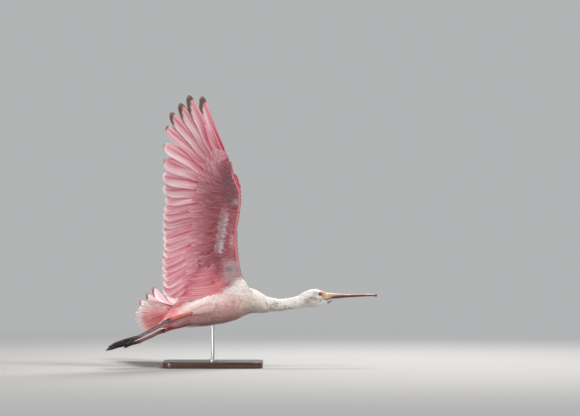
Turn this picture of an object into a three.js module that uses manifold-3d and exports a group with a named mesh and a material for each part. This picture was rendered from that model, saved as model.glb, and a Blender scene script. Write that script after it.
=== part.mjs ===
// Roseate spoonbill in its second year, life size, banking in flight on a display stand.
// Millimetres and degrees. +X is the way it flies, +Z is up.
// The origin is the middle of the base's underside.
import * as THREE from "three";
import { mergeVertices } from "three/addons/utils/BufferGeometryUtils.js";
import Module from "manifold-3d";

const wasm = await Module();
wasm.setup();

// Driving sizes
const GAP = 0.3;
const BODY_HEIGHT = 186;
const BIRD_X = 0;
const BIRD_Y = -20;
const YAW = 6;
const ROLL = 40;
const PITCH = 8.5;
const BASE = { long: 300, deep: 240, thick: 18, corner: 30, bevel: 3 };
const ROD_RADIUS = 5;
const ROD_X = 0;

// The trunk, neck and head as stations on one line: place, half height, half width and bank of each section
const SPINE = [
  { x: -156, y: -23, z: -58, tall: 9, wide: 11, bank: ROLL },
  { x: -142, y: -21, z: -52, tall: 16, wide: 17, bank: ROLL },
  { x: -116, y: -16, z: -38, tall: 32, wide: 31, bank: ROLL },
  { x: -87, y: -8, z: -23, tall: 42, wide: 40, bank: ROLL },
  { x: -54, y: -2, z: -11, tall: 54, wide: 49, bank: ROLL },
  { x: -15, z: -3, tall: 60, wide: 54, bank: ROLL },
  { x: 24, z: 2, tall: 59, wide: 53, bank: ROLL },
  { x: 60, z: 7.5, tall: 54, wide: 49, bank: ROLL },
  { x: 93, z: 12, tall: 45, wide: 40, bank: 38 },
  { x: 118, z: 11, tall: 39, wide: 33, bank: 34 },
  { x: 150, z: 3, tall: 28.5, wide: 25, bank: 26 },
  { x: 174, z: 1, tall: 22, wide: 21, bank: 20 },
  { x: 204, z: 0, tall: 18, wide: 17.5, bank: 14 },
  { x: 234, z: 4, tall: 18, wide: 17, bank: 8 },
  { x: 262, z: 9, tall: 19.5, wide: 17, bank: 4 },
  { x: 282, z: 16, tall: 24.5, wide: 19, bank: 0 },
  { x: 300, z: 20, tall: 27, wide: 21, bank: 0 },
  { x: 316, z: 20.5, tall: 26.5, wide: 20.5, bank: 0 },
  { x: 333, z: 19.8, tall: 21, wide: 17, bank: 0 },
  { x: 349, z: 18.5, tall: 16, wide: 13, bank: 0 },
  { x: 361, z: 19, tall: 11.5, wide: 11, bank: 0 },
];
const TAIL_END = 1;
const NECK_START = 9;
const HEAD_START = 14.4;
const SPINE_END = SPINE.length - 1;

// The bill
const BILL = { start: 336, tip: 495, z: 24, rise: 6, hook: 2.5, spoonWide: 50, waistWide: 17, rootWide: 21 };

// The eye
const EYE = { x: 322, z: 33, side: 14.2, radius: 6.6 };

// The wing in its own plane: u runs out along the span, v back to the trailing edge, w up through the back
const SHOULDER = { x: 63, y: -36, z: 45 };
const NEAR = { elevation: 85, sweep: 0, twist: 0, bend: 46 };
const FAR = { elevation: -0.5, sweep: 5, twist: 7, bend: 95 };
const WRIST = 292;
const ARM_STATIONS = [
  { u: -20, front: -62, back: 70, thick: 34 },
  { u: 15, front: -38, back: 78, thick: 30 },
  { u: 40, front: -21, back: 80, thick: 26 },
  { u: 80, front: -12, back: 78, thick: 23 },
  { u: 130, front: -7, back: 74, thick: 21 },
  { u: 180, front: -6, back: 62, thick: 18 },
  { u: 225, front: -12, back: 50, thick: 16 },
  { u: 262, front: -18, back: 40, thick: 15 },
  { u: 298, front: -16, back: 32, thick: 13 },
  { u: 335, front: 2, back: 30, thick: 10 },
  { u: 385, front: 14, back: 30, thick: 6 },
];
const HAND_TIP = 385;
const PRIMARY_TIPS = [
  [268, 211],
  [306, 218],
  [345, 219],
  [389, 216],
  [436, 216],
  [490, 208],
  [531, 195],
  [558, 167],
  [582, 140],
  [579, 99],
];
const SECONDARIES = 12;
const TERTIALS = 3;
const ARCH = 20;
const CAMBER = 24;
const VANE = 0.9;
const SHINGLE = 1.5;
const COVERT_DROP = 4.6;

// The tail fan, as an angle from its middle and a length
const TAIL = { root: -104, z: -17.3, feathers: 12, length: 133, outer: 41, outerLength: 128 };
const RECTRIX = { lead: 11, trail: 13 };

// The legs, trailing: joints as x, y and z in the bird's own level frame
const LEG = {
  right: {
    knee: [25, -32, 2],
    thigh: [-15, -43, -8],
    hem: [-60, -55, -20],
    ankle: [-135, -56, -43.5],
    foot: [-225, -73, -91],
    toes: [
      [-311, -82, -116],
      [-300, -67, -115],
      [-322, -75, -127],
    ],
    hallux: [-268, -75, -116],
  },
  left: {
    knee: [25, 8, -30],
    thigh: [-20, 5, -44],
    hem: [-68, -5, -57],
    ankle: [-149, -9, -76.5],
    foot: [-226, -45, -108],
    toes: [
      [-318, -55, -121],
      [-306, -40, -126],
      [-325, -48, -133],
    ],
    hallux: [-270, -47, -125],
  },
};
const TOE = [4.8, 4.2, 4, 3.2, 1.3];

const rad = THREE.MathUtils.degToRad;
const lerp = THREE.MathUtils.lerp;

// Solids from geometry, and back
function toSolid(geometry, matrix = new THREE.Matrix4()) {
  const bare = geometry.clone().applyMatrix4(matrix);
  bare.deleteAttribute("normal");
  bare.deleteAttribute("uv");
  const merged = mergeVertices(bare, 1e-4);
  const vertProperties = merged.attributes.position.array;
  const triVerts = Uint32Array.from(merged.index.array);
  const solid = new wasm.Manifold(new wasm.Mesh({ numProp: 3, vertProperties, triVerts }));
  if (solid.volume() > 0) return solid;
  triVerts.reverse();
  return new wasm.Manifold(new wasm.Mesh({ numProp: 3, vertProperties, triVerts }));
}

function toGeometry(solid) {
  const mesh = solid.getMesh();
  const positions = new Float32Array(mesh.numVert * 3);
  for (let i = 0; i < mesh.numVert; i++) {
    positions.set(mesh.vertProperties.subarray(i * mesh.numProp, i * mesh.numProp + 3), i * 3);
  }
  return new THREE.BufferGeometry()
    .setAttribute("position", new THREE.BufferAttribute(positions, 3))
    .setIndex(new THREE.BufferAttribute(mesh.triVerts, 1));
}

function largest(solid) {
  return solid.decompose().reduce((best, piece) => (piece.volume() > best.volume() ? piece : best));
}

function fuse(solids) {
  return largest(wasm.Manifold.union(solids));
}

// A closed tube: a unit cylinder whose rings are moved to place(t, angle, reach).
// The reach is 0 at a cap's middle.
function loft(sides, steps, place) {
  const geometry = new THREE.CylinderGeometry(1, 1, 1, sides, steps);
  const at = geometry.attributes.position;
  for (let i = 0; i < at.count; i++) {
    const angle = Math.atan2(at.getZ(i), at.getX(i));
    const reach = Math.min(1, Math.hypot(at.getX(i), at.getZ(i)));
    const p = place(0.5 - at.getY(i), angle, reach);
    at.setXYZ(i, p.x, p.y, p.z);
  }
  return geometry;
}

// A thin plate: one plane gives both faces, so that their triangles match, and a rim joins them
function plate(across, along, place) {
  const plane = new THREE.PlaneGeometry(1, 1, across, along);
  const at = plane.attributes.position;
  const count = at.count;
  const positions = new Float32Array(count * 6);
  for (let i = 0; i < count; i++) {
    const [top, under] = place(at.getX(i) * 2, 0.5 - at.getY(i));
    positions.set([top.x, top.y, top.z], i * 3);
    positions.set([under.x, under.y, under.z], (count + i) * 3);
  }
  const index = [];
  const face = plane.index.array;
  for (let i = 0; i < face.length; i += 3) {
    index.push(face[i], face[i + 1], face[i + 2]);
    index.push(count + face[i], count + face[i + 2], count + face[i + 1]);
  }
  const row = across + 1;
  const rim = [];
  for (let j = 0; j < across; j++) rim.push(j);
  for (let j = 0; j < along; j++) rim.push(across + j * row);
  for (let j = across; j > 0; j--) rim.push(along * row + j);
  for (let j = along; j > 0; j--) rim.push(j * row);
  rim.forEach((a, i) => {
    const b = rim[(i + 1) % rim.length];
    index.push(a, b, count + a, b, count + b, count + a);
  });
  return new THREE.BufferGeometry()
    .setAttribute("position", new THREE.BufferAttribute(positions, 3))
    .setIndex(index);
}

// The trunk, neck and head follow one line
const spineLine = new THREE.CatmullRomCurve3(
  SPINE.map((s) => new THREE.Vector3(s.x, s.y ?? 0, s.z)),
  false,
  "catmullrom",
  0.5,
);
const spineSize = new THREE.CatmullRomCurve3(
  SPINE.map((s) => new THREE.Vector3(s.tall, s.wide, s.bank)),
  false,
  "catmullrom",
  0.5,
);

function section(station) {
  const t = station / SPINE_END;
  const centre = spineLine.getPoint(t);
  const size = spineSize.getPoint(t);
  const along = spineLine.getTangent(t);
  const bank = rad(size.z);
  const up = new THREE.Vector3(0, Math.sin(bank), Math.cos(bank));
  up.addScaledVector(along, -along.dot(up)).normalize();
  const left = new THREE.Vector3().crossVectors(up, along);
  return { centre, along, up, left, tall: size.x, wide: size.y };
}

function trunk(from, to, sides, steps, grow = 0) {
  return loft(sides, steps, (t, angle, reach) => {
    const s = section(lerp(from, to, t));
    return s.centre
      .clone()
      .addScaledVector(s.left, Math.cos(angle) * reach * (s.wide + grow))
      .addScaledVector(s.up, Math.sin(angle) * reach * (s.tall + grow));
  });
}

// How many stations a cut of half the gap takes up at a place on the line
function halfCut(station) {
  const step = 0.01;
  const length = section(station + step).centre.distanceTo(section(station).centre) / step;
  return GAP / 2 / length;
}

// A tapered limb through points, with a radius at each
function limb(points, radii, sides, steps, grow = 0, flat = 1) {
  const line = new THREE.CatmullRomCurve3(points.map((p) => new THREE.Vector3(...p)), false, "centripetal");
  const sizes = new THREE.CatmullRomCurve3(
    radii.map((r, i) => new THREE.Vector3(i, r, 0)),
    false,
    "catmullrom",
    0.3,
  );
  return loft(sides, steps, (t, angle, reach) => {
    const along = line.getTangent(t);
    const centre = line.getPoint(t).addScaledVector(along, (2 * t - 1) * grow);
    const side = new THREE.Vector3(0, 1, 0).addScaledVector(along, -along.y).normalize();
    const up = new THREE.Vector3().crossVectors(along, side);
    const r = (sizes.getPoint(t).y + grow * 1.1) * reach;
    return centre.addScaledVector(side, -Math.cos(angle) * r).addScaledVector(up, Math.sin(angle) * r * flat);
  });
}

// The wing's surface, arched along the span and cambered from front to back
function lift(u, v) {
  return ARCH * Math.sin((Math.PI * Math.max(u, 0)) / 620) - CAMBER * (Math.max(v, 0) / 210) ** 2;
}

function armSection(u) {
  const last = ARM_STATIONS.length - 1;
  let i = 0;
  while (i < last - 1 && ARM_STATIONS[i + 1].u < u) i++;
  const a = ARM_STATIONS[i];
  const b = ARM_STATIONS[i + 1];
  const raw = (u - a.u) / (b.u - a.u);
  const t = THREE.MathUtils.clamp(raw, 0, 1);
  return {
    front: lerp(a.front, b.front, t),
    back: lerp(a.back, b.back, t),
    thick: lerp(a.thick, b.thick, t),
  };
}

function wingCore(from, to, sides, steps) {
  return loft(sides, steps, (t, angle, reach) => {
    const u = lerp(from, to, t);
    const s = armSection(u);
    const middle = (s.front + s.back) / 2;
    const half = (s.back - s.front) / 2;
    const v = middle - Math.cos(angle) * reach * half;
    const taper = 0.3 + 0.35 * (1 + Math.cos(angle));
    const w = lift(u, v) - Math.sin(angle) * reach * (s.thick / 2) * taper;
    return new THREE.Vector3(u, v, w);
  });
}

function wingFrame(side, { elevation, sweep, twist }, shoulder) {
  const turn = new THREE.Matrix4()
    .makeRotationX(rad(elevation))
    .multiply(new THREE.Matrix4().makeRotationZ(rad(sweep)))
    .multiply(new THREE.Matrix4().makeRotationY(rad(-twist)));
  const basis = new THREE.Matrix4().makeBasis(
    new THREE.Vector3(0, 1, 0),
    new THREE.Vector3(-1, 0, 0),
    new THREE.Vector3(0, 0, 1),
  );
  return new THREE.Matrix4()
    .makeTranslation(shoulder.x, shoulder.y, shoulder.z)
    .multiply(new THREE.Matrix4().makeScale(1, side, 1))
    .multiply(turn)
    .multiply(basis);
}

// The far shoulder mirrors the near one across the banked middle plane
function acrossBody({ x, y, z }) {
  const axis = section(7).centre;
  const bank = rad(ROLL);
  const side = new THREE.Vector3(0, -Math.cos(bank), Math.sin(bank));
  const p = new THREE.Vector3(x, y, z);
  const reach = p.clone().sub(axis).dot(side);
  return p.addScaledVector(side, -2 * reach);
}

// One feather's vane in a wing's plane, from its root to its tip, shingled over its neighbour
function vane(feather, beside, look) {
  const root = new THREE.Vector2(...feather.root);
  const tip = new THREE.Vector2(...feather.tip);
  const along = tip.clone().sub(root).normalize();
  const across = new THREE.Vector2(along.y, -along.x);
  const rootGap = root.distanceTo(new THREE.Vector2(...beside.root));
  const tipGap = tip.distanceTo(new THREE.Vector2(...beside.tip));
  return plate(1, look.steps, (a, s) => {
    const t = 1 - (1 - s) ** 1.5;
    const late = feather.late ?? 0;
    const open = lerp(feather.narrow ?? 0.35, 1, THREE.MathUtils.smoothstep(t, late, late + 0.3));
    const round = Math.sqrt(Math.max(0.02, 1 - Math.max(0, (t - look.taper) / (1 - look.taper)) ** 2));
    const finger = 1 - (feather.finger ?? 0) * THREE.MathUtils.smoothstep(t, 0.4, 0.62);
    const side = a * (a > 0 ? feather.lead : feather.trail * finger) * open * round;
    const bow = (feather.bow ?? 0) * Math.sin(Math.PI * t);
    const p = root
      .clone()
      .lerp(tip, t)
      .addScaledVector(across, side + bow);
    const slope = Math.min(0.16, SHINGLE / lerp(rootGap, tipGap, t));
    const thick = lerp(look.thick, 0.55, t) / 2;
    const w = look.height(p.x, p.y, t) + slope * side;
    return [new THREE.Vector3(p.x, p.y, w + thick), new THREE.Vector3(p.x, p.y, w - thick)];
  });
}

function fan(feathers, look) {
  return feathers.map((feather, i) => {
    const beside = feathers[i + 1] ?? feathers[i - 1];
    return toSolid(vane(feather, beside, look));
  });
}

// Feathers lie in tiers: a tier's level is 0 for flight feathers, -1 under them and 1 over them
function wingTier(level, steps, taper, tipBend = 0, thick = VANE) {
  const height = (u, v, t) => {
    const bend = tipBend * t * t * Math.max(0, (u - 300) / 280) ** 2;
    return lift(u, v) + level * lerp(1.2, COVERT_DROP, Math.min(1, t * 3)) + bend;
  };
  return { steps, taper, thick, height };
}

const bird = new THREE.Group();
bird.position.set(BIRD_X, BIRD_Y, BODY_HEIGHT);
bird.rotation.z = rad(YAW);

const PINK = new THREE.MeshStandardMaterial({ color: 0xd98c94, roughness: 0.8, metalness: 0 });
const WHITE = new THREE.MeshStandardMaterial({ color: 0xd8cfc8, roughness: 0.85, metalness: 0 });
const BLUSH = new THREE.MeshStandardMaterial({ color: 0xdcb3b0, roughness: 0.85, metalness: 0 });
const HORN = new THREE.MeshStandardMaterial({ color: 0xc79a86, roughness: 0.45, metalness: 0 });
const LEG_RED = new THREE.MeshStandardMaterial({ color: 0x8a4038, roughness: 0.6, metalness: 0 });
const FOOT_DARK = new THREE.MeshStandardMaterial({ color: 0x2b2424, roughness: 0.6, metalness: 0 });
const EYE_DARK = new THREE.MeshStandardMaterial({ color: 0x5a1a12, roughness: 0.1, metalness: 0 });
const WOOD = new THREE.MeshStandardMaterial({ color: 0x3a2a1e, roughness: 0.4, metalness: 0 });
const STEEL = new THREE.MeshStandardMaterial({ color: 0x9a9a9a, roughness: 0.3, metalness: 1 });

function addNode(parent, name, solid, material) {
  const mesh = new THREE.Mesh(toGeometry(solid), material);
  mesh.name = name;
  parent.add(mesh);
  return mesh;
}

// Trunk, neck and head, parted by thin cuts
const torso = toSolid(trunk(TAIL_END, NECK_START - halfCut(NECK_START), 20, 18));
const neck = toSolid(
  trunk(NECK_START + halfCut(NECK_START), HEAD_START - halfCut(HEAD_START), 16, 12),
);
let head = toSolid(trunk(HEAD_START + halfCut(HEAD_START), SPINE_END, 16, 10));

// The bill's two halves, each a flat bar that waists and then widens into the spoon
function billWidth(t) {
  const spoon = THREE.MathUtils.smoothstep(t, 0.5, 0.84);
  const neckIn = THREE.MathUtils.smoothstep(t, 0, 0.35);
  const round = Math.sqrt(Math.max(0.02, 1 - Math.max(0, (t - 0.86) / 0.14) ** 2));
  return lerp(lerp(BILL.rootWide, BILL.waistWide, neckIn), BILL.spoonWide, spoon) * round;
}

function billSeat(t) {
  return BILL.z + BILL.rise * t - BILL.hook * THREE.MathUtils.smoothstep(t, 0.88, 1);
}

function billHalf(upper, grow = 0) {
  const deep = upper ? [13, 6.6] : [8.5, 5];
  const thick = (t) => lerp(...deep, Math.min(1, t * 2.2)) * (1 - 0.3 * t);
  return loft(12, 14, (t, angle, reach) => {
    const x = lerp(BILL.start - 2 * grow, BILL.tip + grow, t);
    const seat = billSeat(t);
    const half = billWidth(t) / 2 + grow;
    const y = Math.cos(angle) * reach * half;
    const up = Math.sin(angle) * reach;
    const height = thick(t);
    const side = upper ? Math.max(0, up) : Math.min(0, up);
    const flat = upper ? GAP / 2 - grow : -GAP / 2 + grow;
    const z = seat + flat + side * (height + 2 * grow);
    return new THREE.Vector3(x, y, z);
  });
}

const nostril = (side) =>
  toSolid(
    new THREE.SphereGeometry(1, 8, 6)
      .scale(5, 1.1, 2)
      .rotateY(rad(8))
      .translate(BILL.start + 26, side * 4.5, billSeat(0.16) + 11),
  );
const billUpper = toSolid(billHalf(true)).subtract(nostril(1)).subtract(nostril(-1));
const billLower = toSolid(billHalf(false));
head = largest(head.subtract(toSolid(billHalf(true, GAP))).subtract(toSolid(billHalf(false, GAP))));

function ball(radius, x, y, z) {
  return toSolid(new THREE.SphereGeometry(radius, 12, 8).translate(x, y, z));
}

for (const side of [-1, 1]) {
  const ring = new THREE.TorusGeometry(EYE.radius * 0.92, 1.6, 5, 12);
  ring.rotateX(Math.PI / 2).translate(EYE.x, side * (EYE.side + 3.2), EYE.z);
  head = head.add(toSolid(ring));
}
for (const side of [-1, 1]) head = head.subtract(ball(EYE.radius + GAP, EYE.x, side * EYE.side, EYE.z));
head = largest(head);

addNode(bird, "torso", torso, BLUSH);
addNode(bird, "neck", neck, WHITE);
addNode(bird, "head", head, WHITE);
addNode(bird, "bill_upper", billUpper, HORN);
addNode(bird, "bill_lower", billLower, HORN);
addNode(bird, "eye_right", ball(EYE.radius, EYE.x, -EYE.side, EYE.z), EYE_DARK);
addNode(bird, "eye_left", ball(EYE.radius, EYE.x, EYE.side, EYE.z), EYE_DARK);

// Wings: the flight feathers in order from the body outwards
function tertial(i) {
  return {
    root: [lerp(44, 80, i / (TERTIALS - 1)), 58],
    tip: [lerp(-24, -15, i / (TERTIALS - 1)), lerp(152, 200, i / (TERTIALS - 1))],
    lead: 17,
    trail: 19,
  };
}

function secondary(i) {
  const t = i / (SECONDARIES - 1);
  return {
    root: [lerp(98, 281, t), lerp(54, 14, t ** 1.5)],
    tip: [lerp(-4, 245, t), 217 + 2 * Math.sin(5 * i)],
    lead: t < 1 ? 16 : 10,
    trail: 21,
  };
}

function primary(i) {
  const t = i / (PRIMARY_TIPS.length - 1);
  return {
    root: [lerp(WRIST + 9, HAND_TIP - 9, t), lerp(13, 19, t)],
    tip: PRIMARY_TIPS[i],
    lead: lerp(21, 9, t),
    trail: i === 0 ? 20 : lerp(31, 26, t),
    finger: i > 3 ? 0.22 : 0,
    bow: lerp(0, -6, t),
    narrow: i === 0 ? 0.2 : 0.35,
    late: i === 0 ? 0.24 : 0,
  };
}

// A covert lies along its flight feather and covers part of it
function covert({ root, tip, lead, trail, narrow, late = 0 }, reach, wider = 1) {
  return {
    narrow,
    late: late / reach,
    root: [lerp(root[0], tip[0], 0.02), lerp(root[1], tip[1], 0.02)],
    tip: [lerp(root[0], tip[0], reach), lerp(root[1], tip[1], reach)],
    lead: lead * 0.8 * wider,
    trail: trail * 0.8,
  };
}

function alulaFeather(i) {
  return { root: [WRIST + 8 + 7 * i, -14 + 4 * i], tip: [328 + 11 * i, 3 + 2 * i], lead: 9, trail: 9 };
}

const list = (count, make) => [...Array(count).keys()].map(make);
const everyOther = (feathers) => feathers.filter((_, i) => i % 2 === 0);
const armFeathers = [...list(TERTIALS, tertial), ...list(SECONDARIES, secondary)];
const handFeathers = list(PRIMARY_TIPS.length, primary);
const alula = list(3, alulaFeather);

for (const [name, side, pose] of [
  ["right", -1, NEAR],
  ["left", 1, FAR],
]) {
  const near = new THREE.Vector3(SHOULDER.x, SHOULDER.y, SHOULDER.z);
  const frame = wingFrame(side, pose, side < 0 ? near : acrossBody(SHOULDER));
  const wing = new THREE.Group();
  wing.matrix.copy(frame);
  wing.matrixAutoUpdate = false;
  bird.add(wing);
  const body = toSolid(trunk(0, NECK_START + 2, 20, 24, GAP), frame.clone().invert());
  const arm = fuse([
    toSolid(wingCore(-20, WRIST - GAP / 2, 12, 10)),
    ...fan(armFeathers, wingTier(0, 5, 0.8)),
    ...fan(armFeathers.map((f) => covert(f, 0.5)), wingTier(-1, 3, 0.66)),
    ...fan(everyOther(armFeathers).map((f) => covert(f, 0.45, 1.6)), wingTier(1, 3, 0.66)),
  ]);
  const hand = fuse([
    toSolid(wingCore(WRIST + GAP / 2, HAND_TIP, 12, 6)),
    ...fan(handFeathers, wingTier(0, 6, 0.82, pose.bend)),
    ...fan(handFeathers.map((f) => covert(f, 0.4)), wingTier(-1, 3, 0.66)),
    ...fan(everyOther(handFeathers).map((f) => covert(f, 0.36, 1.4)), wingTier(1, 3, 0.66)),
    ...fan(alula, wingTier(1, 3, 0.6)),
  ]);
  addNode(wing, `wing_${name}_arm`, largest(arm.subtract(body)), PINK);
  addNode(wing, `wing_${name}_hand`, hand, PINK);
}

// The tail in the bird's banked frame: u runs back, v to the bird's left, w up through the back
const tailFrame = new THREE.Matrix4()
  .makeRotationY(rad(-PITCH))
  .multiply(new THREE.Matrix4().makeRotationX(rad(-ROLL)));
const tailGroup = new THREE.Group();
tailGroup.position.set(TAIL.root, 0, TAIL.z);
tailGroup.setRotationFromMatrix(tailFrame);
bird.add(tailGroup);
tailGroup.updateMatrix();
const half = TAIL.feathers / 2;
function rectrix(i, reach = 1) {
  const angle = rad((TAIL.outer * (i + 0.5)) / (half - 0.5));
  const length = lerp(TAIL.length, TAIL.outerLength, i / half) * reach;
  return {
    root: [4 * Math.sin(angle), 4 * Math.cos(angle)],
    tip: [length * Math.sin(angle), length * Math.cos(angle)],
    lead: RECTRIX.lead * lerp(0.6, 1, reach),
    trail: RECTRIX.trail * lerp(0.6, 1, reach),
    narrow: 0.15,
  };
}

// One half of the tail is fanned in u and v, then turned to run back along -X and mirrored
const tailSide = (side) =>
  new THREE.Matrix4().makeBasis(
    new THREE.Vector3(0, side, 0),
    new THREE.Vector3(-1, 0, 0),
    new THREE.Vector3(0, 0, 1),
  );
const tailTier = (level, steps, taper) => ({
  steps,
  taper,
  thick: 1,
  height: (u, v, t) => level * lerp(1, 3.6, Math.min(1, t * 3)) - 0.0006 * u * u,
});
const tailFeathers = [-1, 1].flatMap((side) =>
  [
    ...fan(list(half, (i) => rectrix(i)), tailTier(0, 5, 0.5)),
    ...fan(list(half - 2, (i) => rectrix(1.1 * i, 0.6)), tailTier(-1, 3, 0.66)),
    ...fan(list(half - 2, (i) => rectrix(1.1 * i, 0.55)), tailTier(1, 3, 0.66)),
  ].map((solid) => solid.transform(tailSide(side).toArray())),
);
const stub = loft(12, 4, (t, angle, reach) => {
  const size = lerp(16, 6, t) * reach;
  return new THREE.Vector3(lerp(0, -62, t), -Math.cos(angle) * size * 1.6, Math.sin(angle) * size * 0.8);
});
const trunkInTail = toSolid(trunk(TAIL_END, NECK_START, 20, 18, GAP), tailGroup.matrix.clone().invert());
const tail = largest(fuse([toSolid(stub), ...tailFeathers]).subtract(trunkInTail));
addNode(tailGroup, "tail", tail, BLUSH);

// Legs
for (const [name, leg] of Object.entries(LEG)) {
  const body = toSolid(trunk(TAIL_END, NECK_START, 20, 18, GAP));
  const bare = new THREE.Vector3(...leg.hem).lerp(new THREE.Vector3(...leg.ankle), -0.1).toArray();
  const shin = (grow) => toSolid(limb([bare, leg.ankle, leg.foot], [4, 6, 4.4], 8, 10, grow));
  const muscle = toSolid(limb([leg.knee, leg.thigh, leg.hem], [9, 19, 9], 12, 8));
  const thigh = muscle.subtract(body).subtract(shin(GAP));
  const from = new THREE.Vector3(...leg.foot);
  const toes = [...leg.toes, leg.hallux].map((tip) => {
    const end = new THREE.Vector3(...tip);
    const joint = (t, sag) => from.clone().lerp(end, t).add(new THREE.Vector3(0, 0, sag)).toArray();
    const line = [joint(-0.02, 0), joint(0.25, 1), joint(0.5, 2), joint(0.8, 1), joint(1, -1)];
    return toSolid(limb(line, TOE, 6, 5));
  });
  const web = toSolid(
    plate(2, 2, (a, t) => {
      const [outer, inner, lower] = leg.toes.map((toe) => new THREE.Vector3(...toe));
      const edge = a < 0 ? lower.clone().lerp(outer, 1 + a) : outer.clone().lerp(inner, a);
      const p = from.clone().lerp(edge, lerp(0.06, 0.42, t));
      const half = new THREE.Vector3(0, 0.4, 0);
      return [p.clone().add(half), p.clone().sub(half)];
    }),
  );
  const palm = toSolid(new THREE.SphereGeometry(7, 10, 8), new THREE.Matrix4().setPosition(from));
  const foot = fuse([palm, web, ...toes]).subtract(shin(GAP));
  addNode(bird, `leg_${name}_thigh`, largest(thigh), BLUSH);
  addNode(bird, `leg_${name}_shin`, largest(shin(0).subtract(body)), LEG_RED);
  addNode(bird, `leg_${name}_foot`, largest(foot), FOOT_DARK);
}

// The stand
const outline = new THREE.Shape();
const halfLong = BASE.long / 2 - BASE.bevel;
const halfDeep = BASE.deep / 2 - BASE.bevel;
outline.moveTo(-halfLong + BASE.corner, -halfDeep);
outline.lineTo(halfLong - BASE.corner, -halfDeep);
outline.absarc(halfLong - BASE.corner, -halfDeep + BASE.corner, BASE.corner, -Math.PI / 2, 0);
outline.lineTo(halfLong, halfDeep - BASE.corner);
outline.absarc(halfLong - BASE.corner, halfDeep - BASE.corner, BASE.corner, 0, Math.PI / 2);
outline.lineTo(-halfLong + BASE.corner, halfDeep);
outline.absarc(-halfLong + BASE.corner, halfDeep - BASE.corner, BASE.corner, Math.PI / 2, Math.PI);
outline.lineTo(-halfLong, -halfDeep + BASE.corner);
outline.absarc(-halfLong + BASE.corner, -halfDeep + BASE.corner, BASE.corner, Math.PI, Math.PI * 1.5);
const slab = new THREE.ExtrudeGeometry(outline, {
  depth: BASE.thick - 2 * BASE.bevel,
  bevelThickness: BASE.bevel,
  bevelSize: BASE.bevel,
  bevelSegments: 1,
  curveSegments: 5,
});
slab.translate(0, 0, BASE.bevel);

const model = new THREE.Group();
model.add(bird);
bird.updateMatrix();
addNode(model, "stand_base", toSolid(slab), WOOD);
const rodTop = BODY_HEIGHT;
const rod = new THREE.CylinderGeometry(ROD_RADIUS, ROD_RADIUS, rodTop - BASE.thick - GAP, 20);
rod.rotateX(Math.PI / 2).translate(ROD_X, BIRD_Y, (rodTop + BASE.thick + GAP) / 2);
const trunkInWorld = toSolid(trunk(TAIL_END, NECK_START, 20, 18, GAP), bird.matrix);
addNode(model, "stand_rod", largest(toSolid(rod).subtract(trunkInWorld)), STEEL);

export default model;
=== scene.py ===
# %% [markdown]
# # A young roseate spoonbill banking in flight
# The bird is a life-size display model on a stand. Its solids come in as the frame, and this script dresses
# them: one skin, a coat of small feathers over it, the flight feathers one by one, and the bare parts.
# Lengths below are in millimetres in the bird's own frame, as in the solids, and turn into metres last.

import math

import bpy
import numpy as np
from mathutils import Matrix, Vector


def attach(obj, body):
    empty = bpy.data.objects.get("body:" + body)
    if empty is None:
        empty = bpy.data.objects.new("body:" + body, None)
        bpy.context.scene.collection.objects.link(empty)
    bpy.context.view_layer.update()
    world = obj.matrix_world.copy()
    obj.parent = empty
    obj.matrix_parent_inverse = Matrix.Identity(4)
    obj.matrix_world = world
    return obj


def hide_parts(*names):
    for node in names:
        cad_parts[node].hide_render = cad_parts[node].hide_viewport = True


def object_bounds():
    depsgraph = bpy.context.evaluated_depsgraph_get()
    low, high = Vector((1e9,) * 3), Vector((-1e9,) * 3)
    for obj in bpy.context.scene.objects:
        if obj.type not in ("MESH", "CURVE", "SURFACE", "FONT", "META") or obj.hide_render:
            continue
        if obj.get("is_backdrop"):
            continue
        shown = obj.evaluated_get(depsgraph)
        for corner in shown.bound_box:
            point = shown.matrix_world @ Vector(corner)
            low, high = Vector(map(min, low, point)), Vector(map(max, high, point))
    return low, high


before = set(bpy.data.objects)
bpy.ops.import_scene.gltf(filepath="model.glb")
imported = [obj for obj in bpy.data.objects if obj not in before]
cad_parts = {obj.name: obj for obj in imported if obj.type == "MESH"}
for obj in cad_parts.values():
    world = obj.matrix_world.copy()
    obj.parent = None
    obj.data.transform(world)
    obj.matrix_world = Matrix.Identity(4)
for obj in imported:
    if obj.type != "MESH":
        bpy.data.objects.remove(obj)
cad_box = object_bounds()
print("frame", sorted(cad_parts))

# %% [markdown]
# ## Named sizes
# The same sizes place the solids, so a piece made from them lands where its solid is. The trunk is one line
# of stations from the rump to the bill. A row has x, z, half height, half width, bank in degrees and y.

# %% Named sizes
BODY_HEIGHT, BIRD_Y, YAW = 186, -20, math.radians(6)
ROLL, PITCH = 40, 8.5
BASE = dict(long=300, deep=240, thick=18, corner=30, bevel=3)
ROD, COLLAR = dict(radius=5, top=125.5, gap=0.3), dict(radius=13, height=6, bevel=1.5)
SPINE = np.array(
    [
        (-156, -58, 9, 11, ROLL, -23), (-142, -52, 16, 17, ROLL, -21), (-116, -38, 32, 31, ROLL, -16),
        (-87, -23, 42, 40, ROLL, -8), (-54, -11, 54, 49, ROLL, -2), (-15, -3, 60, 54, ROLL, 0),
        (24, 2, 59, 53, ROLL, 0), (60, 7.5, 54, 49, ROLL, 0), (93, 12, 45, 40, 38, 0),
        (118, 11, 39, 33, 34, 0), (150, 3, 28.5, 25, 26, 0), (174, 1, 22, 21, 20, 0),
        (204, 0, 18, 17.5, 14, 0), (234, 4, 18, 17, 8, 0), (262, 9, 19.5, 17, 4, 0),
        (282, 16, 24.5, 19, 0, 0), (300, 20, 27, 21, 0, 0), (316, 20.5, 26.5, 20.5, 0, 0),
        (333, 19.8, 21, 17, 0, 0), (349, 18.5, 16, 13, 0, 0), (361, 19, 11.5, 11, 0, 0),
    ],
    float,
)
CENTRE = [0, 5, 1]
HEAD_START, SPINE_END = 14.4, 20
BILL = dict(start=336, tip=495, z=24, rise=6, hook=2.5, spoon=50, waist=17, root=21)
EYE = dict(x=322, z=33, side=14.2, radius=6.6)
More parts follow.
